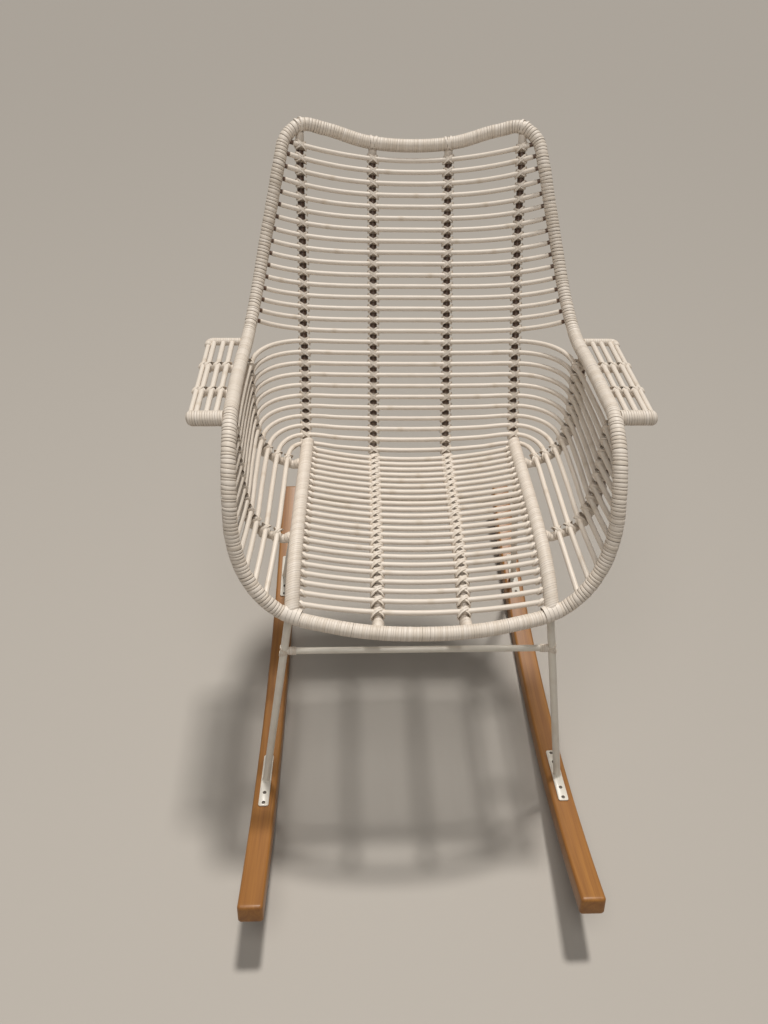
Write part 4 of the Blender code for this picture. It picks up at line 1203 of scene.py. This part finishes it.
def shared(make, name):
    """A material that several pieces share, made at its first use."""
    return bpy.data.materials.get(name) or make()


def rattan():
    """Paint of the rods and ribs."""
    return shared(cane_paint, "painted_rattan")


def peel():
    """Paint of the wound pieces."""
    return shared(winding_paint, "painted_cane_peel")


def split_cane():
    """Paint of the lashings."""
    return shared(strand_paint, "painted_cane_strand")


# Pieces

def rim_joints():
    """Places where other pieces meet the right half of the rim."""
    ribs = (back_rib_line(OUTER, []), back_rib_line(INNER, inner_foot()), side_rib_line(REAR),
            side_rib_line(FRONT))
    bars = (arm_point(ARM_BACK_Y, 0.0), arm_point(ARM_FRONT_Y, 0.0))
    return np.array([rib[-1] for rib in ribs] + list(bars))


BUCKET_MIDDLE = np.array([0.0, SEAT_REAR_Y - 0.10, SEAT_HEIGHT + 0.20])


class WindRim(bpy.types.Operator):
    """Winds the rim with flat cane"""

    bl_idname = "wicker_chair.wind_rim"
    bl_label = "Wind Rim"

    def execute(self, context):
        sizes = settings().cane
        line = even(np.vstack([RIM, RIM[:1]]), RIM_LINE_STEP)[:-1]
        x, y, z = np.abs(line[:, 0]), line[:, 1] - SEAT_REAR_Y, line[:, 2] - SEAT_HEIGHT
        arms = np.clip((ARM_BACK_Y + 2 * RIM_BLUR - y) / RIM_BLUR, 0, 1)
        arms *= np.clip((y - ARM_FRONT_Y) / RIM_BLUR, 0, 1)
        front = np.clip((RAIL_FRONT_HALF_SPAN - x) / RIM_BLUR, 0, 1)
        top = np.clip((EAR_HALF_WIDTH - x) / (4 * RIM_BLUR), 0, 1) * (z > BACK_RISE - 2 * RIM_RADIUS)
        tight = np.where(y > ARM_FRONT_Y, np.maximum(arms * (z > ARM_RISE / 2), top), front)
        away = gaps_between(np.column_stack([x, line[:, 1:]]), rim_joints())
        joint = np.exp(-(away.min(axis=1) / RIM_JOINT_REACH)**2)
        skin = Skin()
        wound_loop(skin, line, RIM_RADIUS - RIM_SLACK,
                   sizes.open_turn + (sizes.tight_turn - sizes.open_turn) * tight,
                   sizes.open_ridge + (sizes.tight_ridge - sizes.open_ridge) * tight,
                   np.maximum(RIM_OPEN_GAP + (RIM_TIGHT_GAP - RIM_OPEN_GAP) * tight, joint),
                   line - BUCKET_MIDDLE, SEED)
        skin.put("wound_rim", peel(), ["rim"])
        return {"FINISHED"}


class WindRails(bpy.types.Operator):
    """Winds the two seat rails with fine cane, and their front ends to the rim with broad strips"""

    bl_idname = "wicker_chair.wind_rails"
    bl_label = "Wind Rails"

    def execute(self, context):
        sizes = settings().cane
        line = cut_at(fine_line(RAIL), RIM, BURY)
        ahead = rim_heading(RAIL[-1])
        for side, sign in SIDES:
            skin = Skin()
            wound_bar(skin, mirrored(line, sign), RAIL_RADIUS, sizes.fine_turn, sizes.fine_ridge, X_AXIS,
                      RAIL_GAP, SEED + sign, RAIL_ROUNDINGS, RAIL_LEAN)
            skin.put(f"wound_rail_{side}", peel(), [f"seat_rail_{side}"])
            skin = Skin()
            for strip in range(RAIL_STRIPS):
                slide = (strip - (RAIL_STRIPS - 1) / 2) * (RAIL_STRIP_WIDTH + RAIL_STRIP_GAP)
                hoop(skin, mirrored(RAIL[-1] + ahead * slide, sign), mirrored(ahead, sign),
                     mirrored(RAIL[-2] - RAIL[-1], sign), RIM_RADIUS - 2 * RIM_SLACK, 0.0,
                     RAIL_STRIP_WIDTH, 0.0, RAIL_STRIP_REACH)
            skin.put(f"rail_strips_{side}", split_cane())
        return {"FINISHED"}


def bare_and_shaded_ends(path):
    """Dark brown ends of a back rod close to the rim: bare cane and painted shade where it runs into the rim.
    """
    away = gaps_between(path, RIM).min(axis=1)
    return np.clip((RIM_RADIUS + BARE_SHADE_END - away) / BARE_SHADE_END_BLUR, 0.0, 1.0)


class BendRods(bpy.types.Operator):
    """Bends the rods of the back and the sides"""

    bl_idname = "wicker_chair.bend_rods"
    bl_label = "Bend Rods"

    def execute(self, context):
        for number, half in enumerate(BACK_RODS + WRAP_RODS, start=1):
            back = number <= BACK_ROD_COUNT
            kind = "back_rod" if back else "wrap_rod"
            line = cut_between(fine_line(whole(half)), RIM, RIM_BURIED, RIM, RIM_BURIED)
            skin = Skin()
            # Back rods go dark brown at their ends by the rim: bare cane and painted shade.
            cane_rod(skin, line, ROD_RADIUS, Z_AXIS, SEED + number, bare_and_shaded_ends if back else None)
            skin.put(f"cane_{kind}_{number:02d}", rattan(), [f"{kind}_{number:02d}"])
        return {"FINISHED"}


class LaySeat(bpy.types.Operator):
    """Lays the seat rods on their two ribs"""

    bl_idname = "wicker_chair.lay_seat"
    bl_label = "Lay Seat"

    def execute(self, context):
        skin = Skin()
        for number in range(SEAT_ROD_COUNT):
            line = fine_line(whole(seat_rod_half(number)))
            line = cut_between(line, mirrored(RAIL_SMOOTH, -1), RAIL_BURIED, RAIL_SMOOTH, RAIL_BURIED)
            cane_rod(skin, line, ROD_RADIUS, Z_AXIS, SEED + 100 + number)
        rib = cut_at(fine_line(seat_rib_line()), RIM, RIM_BURIED)
        knots = np.array([seat_point(INNER_RIB_X, seat_rod_y(number)) - SEAT_DROP
                          for number in range(SEAT_ROD_COUNT)])
        for _, sign in SIDES:
            # The seat ribs go dark brown between their knots: bare cane and painted shade.
            cane_rod(skin, mirrored(rib, sign), RIB_RADIUS, X_AXIS, SEED + 200 + sign,
                     bare_and_shade_between(mirrored(knots, sign), np.ones(SEAT_ROD_COUNT)))
        skin.put("cane_seat", rattan(), ["seat_deck"])
        return {"FINISHED"}


def bare_and_shade_between(knots, shares):
    """Dark brown patches of a rib between its knots, bare cane and painted shade: none within a knot's reach
    or past the end knots, and its share elsewhere."""
    def bare_and_shade(path):
        away = gaps_between(path, knots)
        near = away.argmin(axis=1)
        past = [((path - end) @ (end - beside)) > 0.0 for end, beside in (knots[:2], knots[:-3:-1])]
        patch = np.clip((away.min(axis=1) - KNOT_REACH) / BARE_SHADE_BLUR, 0.0, 1.0) * shares[near]
        return np.where((past[0] & (near == 0)) | (past[1] & (near == len(knots) - 1)), 0.0, patch)
    return bare_and_shade


class SetRibs(bpy.types.Operator):
    """Sets the ribs behind the back rods and outside the side rods"""

    bl_idname = "wicker_chair.set_ribs"
    bl_label = "Set Ribs"

    def execute(self, context):
        for number, (name, rods, place, outward) in enumerate(RIB_KINDS):
            points, _, normals = crossings(rods, place, outward)
            knots = rib_points(points, normals)
            upright = place in (OUTER, INNER)
            if upright:
                line = back_rib_line(place, inner_foot() if place == INNER else [])
            else:
                line = side_rib_line(place)
            line = cut_at(fine_line(line), RIM, RIM_BURIED)
            if not upright:
                line = cut_at(line[::-1], RAIL_SMOOTH, RAIL_BURIED)[::-1]
            # The ribs go dark brown between their knots, bare cane and painted shade, a little less towards
            # the foot.
            shares = np.linspace(1.0, BACK_LOW_BARE_SHADE if upright else SIDE_LOW_BARE_SHADE, len(knots))
            for side, sign in SIDES:
                skin = Skin()
                cane_rod(skin, mirrored(line, sign), RIB_RADIUS, X_AXIS if upright else Y_AXIS,
                         SEED + 300 + number, bare_and_shade_between(mirrored(knots, sign), shares))
                skin.put(f"cane_{name}_{side}", rattan(), [f"{name}_{side}"])
        return {"FINISHED"}


class BuildArmrests(bpy.types.Operator):
    """Builds the armrests: two wound bars, a bent edge rod, slats and cross ribs with their collars"""

    bl_idname = "wicker_chair.build_armrests"
    bl_label = "Build Armrests"

    def execute(self, context):
        sizes = settings().cane
        tip = ARM_FRONT_REACH + ARM_EDGE_RADIUS + CLEARANCE
        bar_line = np.array([arm_point(ARM_FRONT_Y, tip), arm_point(ARM_FRONT_Y, 0.0)])
        bar_line = cut_at(even(bar_line, BAR_LINE_STEP), RIM, RIM_BURIED)
        edge = cut_between(even(arm_edge_line(), LINE_STEP), RIM, RIM_BURIED, bar_line, BAR_BURIED)
        sleeve = points_at(edge, np.arange(0.0, ARM_BACK_REACH + ARM_CORNER_RADIUS / 2, LINE_STEP))[::-1]
        slats = [cut_between(even(slat, LINE_STEP), edge, SLAT_GAP, bar_line, BAR_BURIED)
                 for slat in arm_slat_lines()]
        crosses = [cut_at(even(line, LINE_STEP), RIM, RIM_BURIED) for line in arm_cross_lines()]
        for side, sign in SIDES:
            skin = Skin()
            wound_bar(skin, mirrored(bar_line, sign), ARM_BAR_RADIUS, sizes.fine_turn, sizes.tight_ridge,
                      Z_AXIS, ARM_BAR_GAP, SEED + 400 + sign, ARM_BAR_ROUNDINGS, ARM_BAR_LEAN * sign)
            skin.put(f"wound_armrest_bar_{side}", peel(), [f"armrest_front_bar_{side}"])
            skin = Skin()
            wound_bar(skin, mirrored(sleeve, sign), ARM_SLEEVE_RADIUS, sizes.fine_turn, sizes.fine_ridge,
                      Z_AXIS, ARM_SLEEVE_GAP, SEED + 405 + sign, ARM_SLEEVE_ROUNDINGS)
            for number, cross in enumerate(crosses):
                collar(skin, mirrored(cross[::-1], sign), ARM_COLLAR_PLACE, ARM_COLLAR_SIZE,
                       ARM_COLLAR_RADIUS, Z_AXIS, SEED + 440 + number)
            skin.put(f"armrest_collars_{side}", peel())
            skin = Skin()
            cane_rod(skin, mirrored(edge, sign), ARM_EDGE_RADIUS, Z_AXIS, SEED + 410 + sign)
            skin.put(f"cane_armrest_edge_{side}", rattan(), [f"armrest_edge_{side}"])
            skin = Skin()
            for number, slat in enumerate(slats):
                cane_rod(skin, mirrored(slat, sign), ARM_SLAT_RADIUS, Z_AXIS, SEED + 420 + number * sign)
            for number, cross in enumerate(crosses):
                cane_rod(skin, mirrored(cross, sign), ARM_CROSS_RADIUS, Z_AXIS, SEED + 430 + number * sign)
            skin.put(f"cane_armrest_slats_{side}", rattan(), [f"armrest_slats_{side}"])
        return {"FINISHED"}


class TieLashings(bpy.types.Operator):
    """Ties a crossed lashing wherever a rod crosses a rib"""

    bl_idname = "wicker_chair.tie_lashings"
    bl_label = "Tie Lashings"

    def execute(self, context):
        for name, rods, place, outward in RIB_KINDS:
            points, runs, normals = crossings(rods, place, outward)
            behind = rib_points(points, normals)
            rises = headings(behind)
            for side, sign in SIDES:
                skin = Skin()
                for number in range(len(rods)):
                    lashing(skin, *(mirrored(v[number], sign) for v in (points, runs, behind, rises)),
                            ROD_RADIUS, RIB_RADIUS, SEED + 500 + number)
                skin.put(f"lashings_{name}_{side}", split_cane())
        for side, sign in SIDES:
            skin = Skin()
            for number in range(SEAT_ROD_COUNT):
                y = seat_rod_y(number)
                point = seat_point(sign * INNER_RIB_X, y)
                ahead = seat_point(sign * INNER_RIB_X, y - SEAT_ROD_PITCH / 2) - point
                lashing(skin, point, X_AXIS, point - SEAT_DROP, ahead, ROD_RADIUS, RIB_RADIUS,
                        SEED + 600 + number, SEAT_KNOT_SCALE)
            skin.put(f"lashings_seat_{side}", split_cane())
            skin = Skin()
            rods = [(slat, ARM_SLAT_RADIUS) for slat in arm_slat_lines()]
            rods.append((arm_edge_line()[-2:], ARM_EDGE_KNOT_SHARE * ARM_EDGE_RADIUS))
            for cross in arm_cross_lines():
                for slat, radius in rods:
                    share = (cross[0, 1] - slat[0, 1]) / (slat[-1, 1] - slat[0, 1])
                    over = slat[0] + (slat[-1] - slat[0]) * share
                    under = np.array([over[0], over[1], cross[0, 2]])
                    lashing(skin, *(mirrored(v, sign) for v in (over, slat[-1] - slat[0], under,
                                                                cross[1] - cross[0])),
                            radius, ARM_CROSS_RADIUS, SEED + 700, ARM_KNOT_SCALE)
            skin.put(f"lashings_armrest_{side}", split_cane())
        return {"FINISHED"}


class BindEnds(bpy.types.Operator):
    """Binds the seat rods to the rails, and the ribs' ends with collars and straps of cane"""

    bl_idname = "wicker_chair.bind_ends"
    bl_label = "Bind Ends"

    def execute(self, context):
        sizes = settings().cane
        chance = np.random.default_rng(SEED)
        seat_rib = cut_at(fine_line(seat_rib_line()), RIM, RIM_RADIUS)[::-1]
        side_ribs = [cut_at(fine_line(side_rib_line(place))[::-1], RAIL_SMOOTH, RAIL_RADIUS)[::-1]
                     for place in (REAR, FRONT)]
        for side, sign in SIDES:
            skin = Skin()
            for rib in side_ribs:
                collar(skin, mirrored(rib, sign), RAIL_COLLAR_SIZE / 2, RAIL_COLLAR_SIZE, RAIL_COLLAR_RADIUS,
                       Y_AXIS, SEED + 810)
            skin.put(f"rib_collars_{side}", peel())
            skin = Skin()
            for number in range(SEAT_ROD_COUNT):
                y = seat_rod_y(number)
                inner_side = rail_at(y)[0] - RAIL_RADIUS
                for setback, lean in ROD_END_TIES:
                    spot = seat_point(inner_side - setback, y)
                    hoop(skin, mirrored(spot, sign), X_AXIS, Y_AXIS, ROD_RADIUS + sizes.strand_thickness,
                         lean * sign, sizes.strand_width, chance.uniform())
            for head in (back_rib_line(OUTER, [])[-1], back_rib_line(INNER, inner_foot())[-1]):
                for lean in (-RIM_TIE_LEAN, RIM_TIE_LEAN):
                    hoop(skin, mirrored(head, sign), mirrored(rim_heading(head), sign), -Z_AXIS,
                         RIM_RADIUS - RIM_SLACK, lean, RIM_TIE_WIDENING * sizes.strand_width, 0.0)
            radius = RIB_RADIUS + sizes.strand_thickness
            for tie in range(SEAT_TIES):
                spot = points_at(seat_rib, tie * SEAT_TIE_STEP)
                reach = seat_rib_line()[-1, 2] + SEAT_TIE_RISE - radius - spot[2]
                hoop(skin, mirrored(spot, sign), Y_AXIS, Z_AXIS, radius, 0.0, SEAT_TIE_WIDTH,
                     chance.uniform(), reach)
            skin.put(f"end_ties_{side}", split_cane())
        return {"FINISHED"}


def rim_heading(point):
    """Direction of the rim at its point nearest to the given one."""
    i = int(np.linalg.norm(RIM - point, axis=1).argmin())
    return unit(RIM[(i + 1) % len(RIM)] - RIM[i - 1])


def rounded_box_ring(half_width, half_length, radius, points):
    """Outline of a rectangle with round corners: each quarter is an arc of the radius round its corner."""
    a = (np.arange(points) + 0.5) / points * 2 * math.pi
    return np.stack([np.sign(np.cos(a)) * (half_width - radius) + radius * np.cos(a),
                     np.sign(np.sin(a)) * (half_length - radius) + radius * np.sin(a)], axis=-1)


class FitBase(bpy.types.Operator):
    """Fits the legs, foot plates, screws and stretchers"""

    bl_idname = "wicker_chair.fit_base"
    bl_label = "Fit Base"

    def execute(self, context):
        enamel = shared(enamel_paint, "enamelled_steel")
        black = shared(blackened_steel, "blackened_steel")
        for end, top_y, foot_y in BASE_ENDS:
            middle, tilt = plate_frame(foot_y)
            leg = cut_at(even(leg_line(top_y, middle, tilt), LINE_STEP), RAIL_SMOOTH, RAIL_BURIED)
            share = (STRETCHER_HEIGHT - leg[0, 2]) / (leg[-1, 2] - leg[0, 2])
            joint = leg[0] + (leg[-1] - leg[0]) * share
            reach = joint - (LEG_RADIUS - STRETCHER_BURY) * X_AXIS
            self.bar(f"enamelled_{end}_stretcher", np.array([mirrored(reach, -1), reach]), STRETCHER_RADIUS,
                     enamel, f"{end}_stretcher")
            self.bindings(end, joint, unit(leg[-1] - leg[0]))
            for side, sign in SIDES:
                self.leg(f"enamelled_{end}_leg_{side}", mirrored(leg, sign), enamel, f"{end}_leg_{side}")
                self.plate(end, side, mirrored(middle, sign), tilt, enamel, black)
        return {"FINISHED"}

    def bindings(self, end, joint, ahead):
        """A collar of cane on each end of a stretcher, and leaning strands round the legs beside it."""
        sizes = settings().cane
        for side, sign in SIDES:
            skin = Skin()
            line = mirrored(np.array([joint, joint - STRETCHER_STUB * X_AXIS]), sign)
            collar(skin, line, LEG_RADIUS + BAR_COLLAR_SIZE / 2, BAR_COLLAR_SIZE, BAR_COLLAR_RADIUS, Z_AXIS,
                   SEED + 900 + sign)
            skin.put(f"{end}_stretcher_collar_{side}", peel())
            skin = Skin()
            for slide, lean in LEG_TIES:
                hoop(skin, mirrored(joint + ahead * slide, sign), mirrored(ahead, sign), -sign * X_AXIS,
                     LEG_RADIUS, lean, sizes.strand_width, 1.0)
            skin.put(f"{end}_stretcher_ties_{side}", split_cane())

    def bar(self, name, line, radius, material, node_name):
        """A straight round bar."""
        skin = Skin()
        path = even(line, STEEL_STEP)
        skin.add(rings(path, radius, BAR_FACETS, Z_AXIS), distances(path))
        skin.put(name, material, [node_name])

    def leg(self, name, line, material, node_name):
        """A round leg with a weld bead at its foot: radius + weld (1 - d / (3 weld))^2 near the foot."""
        weld = settings().base.weld
        line = np.vstack([line[0] - (line[1] - line[0]) * LEG_BURY_STEPS, line])
        bead = np.linspace(0.0, WELD_END * weld, WELD_POINTS)
        shaft = np.linspace(LEG_START * weld, distances(line)[-1], LEG_POINTS)
        path = points_at(line, np.append(bead, shaft))
        away = distances(path)
        radius = LEG_RADIUS + weld * np.clip(1.0 - away / (WELD_REACH * weld), 0.0, 1.0)**2
        skin = Skin()
        skin.add(rings(path, radius, BAR_FACETS, X_AXIS), away)
        skin.put(name, material, [node_name])

    def plate(self, end, side, middle, tilt, material, black):
        """A strip of steel with round corners and soft edges, as outlines stacked along its normal, and two
        domed screws on each side of the leg."""
        sizes = settings().base
        ahead = np.array([0.0, math.cos(tilt), math.sin(tilt)])
        normal = np.array([0.0, -math.sin(tilt), math.cos(tilt)])
        layers = []
        soft = PLATE_SOFT_EDGE
        for height, inset in ((-0.5, soft), (-0.5 + soft / PLATE_THICKNESS, 0.0),
                              (0.5 - soft / PLATE_THICKNESS, 0.0), (0.5, soft)):
            flat = rounded_box_ring(PLATE_WIDTH / 2 - inset, PLATE_LENGTH / 2 - inset, sizes.plate_corner,
                                    OUTLINE_POINTS)
            layers.append(middle + flat[:, :1] * X_AXIS + flat[:, 1:] * ahead
                          + height * PLATE_THICKNESS * normal)
        skin = Skin()
        skin.add(np.array(layers), np.linspace(0.0, 1.0, len(layers)))
        skin.put(f"enamelled_{end}_foot_plate_{side}", material,
                 [f"{end}_foot_plate_{side}"])
        skin = Skin()
        for place in SCREW_PLACES:
            centre = middle + ahead * place * PLATE_LENGTH + normal * PLATE_THICKNESS / 2
            a = np.linspace(0.0, SCREW_DOME * math.pi / 2, SCREW_RINGS)
            path = centre + np.sin(a)[:, None] * sizes.screw_height * normal
            path[0] -= SCREW_BURY * normal
            flat = np.broadcast_to(normal, path.shape)
            skin.add(rings(path, sizes.screw_radius * np.cos(a), SCREW_FACETS, X_AXIS, flat), a)
        skin.put(f"screws_{end}_{side}", black)


class ShapeRockers(bpy.types.Operator):
    """Shapes the two bent wooden rockers"""

    bl_idname = "wicker_chair.shape_rockers"
    bl_label = "Shape Rockers"

    def execute(self, context):
        wood = shared(varnished_wood, "varnished_hardwood")
        front = math.asin((ROCKER_FRONT_Y - ROCKER_LOW_Y) / ROCKER_FLAT)
        rear = math.asin((ROCKER_REAR_Y - ROCKER_LOW_Y) / ROCKER_FLAT)
        soft = ROCKER_EDGE * (1.0 - np.cos(np.linspace(0.0, math.pi / 2, ROCKER_EDGE_STEPS)))
        near = soft / ROCKER_FLAT
        between = np.linspace(front, rear, ROCKER_STEPS)[1:-1]
        angles = np.concatenate([front + near, between, rear - near[::-1]])
        end = ROCKER_EDGE - np.sqrt(ROCKER_EDGE**2 - (ROCKER_EDGE - soft)**2)
        inset = np.concatenate([end, np.zeros_like(between), end[::-1]])
        for side, sign in SIDES:
            ring = rounded_box_ring(0.5 * ROCKER_WIDTH, 0.5 * ROCKER_HEIGHT, ROCKER_EDGE, OUTLINE_POINTS)
            shrink = 1.0 - inset[:, None] / np.array([ROCKER_WIDTH / 2, ROCKER_HEIGHT / 2])
            flat = ring[None, :, :] * shrink[:, None, :]
            side_view = rocker_point(angles[:, None], flat[..., 1] + ROCKER_HEIGHT / 2)
            grid = np.concatenate([flat[..., :1] + sign * ROCKER_HALF_SPAN, side_view], axis=-1)
            turns = np.broadcast_to(angles[:, None], flat.shape[:2]) * ROCKER_FLAT
            grain = np.stack([flat[..., 0] + sign, turns, flat[..., 1]], axis=-1)
            skin = Skin()
            skin.add(grid[:, ::-1], angles * ROCKER_FLAT, grain=grain[:, ::-1])
            skin.put(f"wooden_rocker_{side}", wood, [f"rocker_{side}"],
                     sharp=ROCKER_SHARP_ANGLE)
        return {"FINISHED"}


# Stage

CAMERA_PLACE = (-0.0930, -0.9192, 1.3156)
CAMERA_YAW, CAMERA_PITCH, CAMERA_ROLL = math.radians(2.67), math.radians(42.87), math.radians(-1.50)
CAMERA_LENS, CAMERA_SENSOR = 27.035, 36.0
FLOOR_HALF = 30.0
FLOOR_ROUGHNESS = 0.8
SKY_COLOUR = (1.0, 0.98, 0.95)
LIGHT_COLOUR = (1.0, 0.97, 0.93)
CEILING_PLACE, CEILING_ANGLE = (0.1, 0.35, 1.0), math.radians(6.0)
LAMP_PLACE, LAMP_TARGET, LAMP_SIZE = (-0.3, -1.3, 3.2), (0.0, 0.0, 0.5), 1.6
LIGHT_UP = Y_AXIS + 0.1 * X_AXIS


class SetStage(bpy.types.Operator):
    """Sets the floor, the light and the camera"""

    bl_idname = "wicker_chair.set_stage"
    bl_label = "Set Stage"

    def execute(self, context):
        scene, stage = context.scene, settings().stage
        scene.view_settings.view_transform = "Standard"
        self.floor(stage)
        self.sky(scene, stage)
        self.ceiling(stage)
        self.lamp(stage)
        data = bpy.data.cameras.new("photo_camera")
        data.lens, data.sensor_width, data.sensor_fit = CAMERA_LENS, CAMERA_SENSOR, "AUTO"
        camera = bpy.data.objects.new("photo_camera", data)
        ahead = np.array([math.sin(CAMERA_YAW) * math.cos(CAMERA_PITCH),
                          math.cos(CAMERA_YAW) * math.cos(CAMERA_PITCH), -math.sin(CAMERA_PITCH)])
        right = np.array([math.cos(CAMERA_YAW), -math.sin(CAMERA_YAW), 0.0])
        down = np.cross(ahead, right)
        c, s = math.cos(CAMERA_ROLL), math.sin(CAMERA_ROLL)
        axes = np.column_stack([right * c + down * s, right * s - down * c, -ahead])
        camera.matrix_world = Matrix.Translation(CAMERA_PLACE) @ Matrix(axes.tolist()).to_4x4()
        scene.collection.objects.link(camera)
        scene.camera = camera
        return {"FINISHED"}

    def floor(self, stage):
        """A large flat floor, as a grid of two by two points."""
        x, y = np.meshgrid((-FLOOR_HALF, FLOOR_HALF), (-FLOOR_HALF, FLOOR_HALF))
        mesh = bpy.data.meshes.new("floor")
        mesh.from_pydata(np.column_stack([x.ravel(), y.ravel(), np.zeros(4)]), [], [(0, 1, 3, 2)])
        material, _, shader = new_material("pale_floor")
        shader.inputs["Base Color"].default_value = (*stage.floor, 1.0)
        shader.inputs["Roughness"].default_value = FLOOR_ROUGHNESS
        mesh.materials.append(material)
        floor = bpy.data.objects.new("floor", mesh)
        bpy.context.scene.collection.objects.link(floor)

    def sky(self, scene, stage):
        """Even light from all round; the camera and reflections see the floor's pale colour."""
        world = bpy.data.worlds.new("studio")
        world.use_nodes = True
        scene.world = world
        tree = world.node_tree
        tree.nodes.clear()
        rays = node(tree, "ShaderNodeLightPath").outputs
        light = node(tree, "ShaderNodeBackground", {"Color": (*SKY_COLOUR, 1.0), "Strength": stage.sky})
        shown = node(tree, "ShaderNodeBackground", {"Color": (*stage.floor, 1.0), "Strength": 1.0})
        mirror = node(tree, "ShaderNodeMath", {0: rays["Is Camera Ray"], 1: rays["Is Glossy Ray"]},
                      operation="MAXIMUM")
        seen = node(tree, "ShaderNodeMath", {0: mirror.outputs[0], 1: rays["Is Transmission Ray"]},
                    operation="MAXIMUM")
        mix = node(tree, "ShaderNodeMixShader", {0: seen.outputs[0], 1: light.outputs[0],
                                                 2: shown.outputs[0]})
        node(tree, "ShaderNodeOutputWorld", {"Surface": mix.outputs[0]})

    def ceiling(self, stage):
        """Soft light from high above and a little behind, as even on the floor as a wide ceiling's."""
        data = bpy.data.lights.new("ceiling_light", "SUN")
        data.angle, data.energy = CEILING_ANGLE, stage.key
        self.hang(data, CEILING_PLACE, (0.0, 0.0, 0.0))

    def lamp(self, stage):
        """A square soft lamp in front of the chair, that faces its seat."""
        data = bpy.data.lights.new("front_lamp", "AREA")
        data.size, data.energy = LAMP_SIZE, stage.fill
        self.hang(data, LAMP_PLACE, LAMP_TARGET)

    def hang(self, data, place, target):
        """Puts a warm light at a place, facing a point."""
        data.color = LIGHT_COLOUR
        lamp = bpy.data.objects.new(data.name, data)
        back = unit(np.array(place) - np.array(target))
        right = unit(np.cross(LIGHT_UP, back))
        axes = np.column_stack([right, np.cross(back, right), back])
        lamp.matrix_world = Matrix.Translation(place) @ Matrix(axes.tolist()).to_4x4()
        bpy.context.scene.collection.objects.link(lamp)


STEPS = (WindRim, WindRails, BendRods, LaySeat, SetRibs, BuildArmrests, TieLashings, BindEnds, FitBase,
         ShapeRockers, SetStage)


class ChairPanel(bpy.types.Panel):
    """Lists the steps that dress the chair, and their settings"""

    bl_idname = "VIEW3D_PT_wicker_chair"
    bl_label = "Wicker Chair"
    bl_space_type = "VIEW_3D"
    bl_region_type = "UI"
    bl_category = "Wicker Chair"

    def draw(self, context):
        chair = settings()
        for group in (chair.cane, chair.base, chair.finish, chair.stage):
            column = self.layout.column(align=True)
            for key in group.bl_rna.properties.keys():
                if key not in {"rna_type", "name"}:
                    column.prop(group, key)
        for step in STEPS:
            self.layout.operator(step.bl_idname)


CLASSES = (CaneSizes, BaseSizes, Finishes, Stage, WickerChair, *STEPS, ChairPanel)


def register():
    """Adds the settings, the steps and the panel."""
    for kind in CLASSES:
        bpy.utils.register_class(kind)
    bpy.types.Scene.wicker_chair = PointerProperty(type=WickerChair)


def unregister():
    """Takes them out again."""
    del bpy.types.Scene.wicker_chair
    for kind in reversed(CLASSES):
        bpy.utils.unregister_class(kind)


def main():
    """Dresses the chair."""
    register()
    for step in STEPS:
        group, name = step.bl_idname.split(".")
        getattr(getattr(bpy.ops, group), name)()


if __name__ == "__main__":
    main()
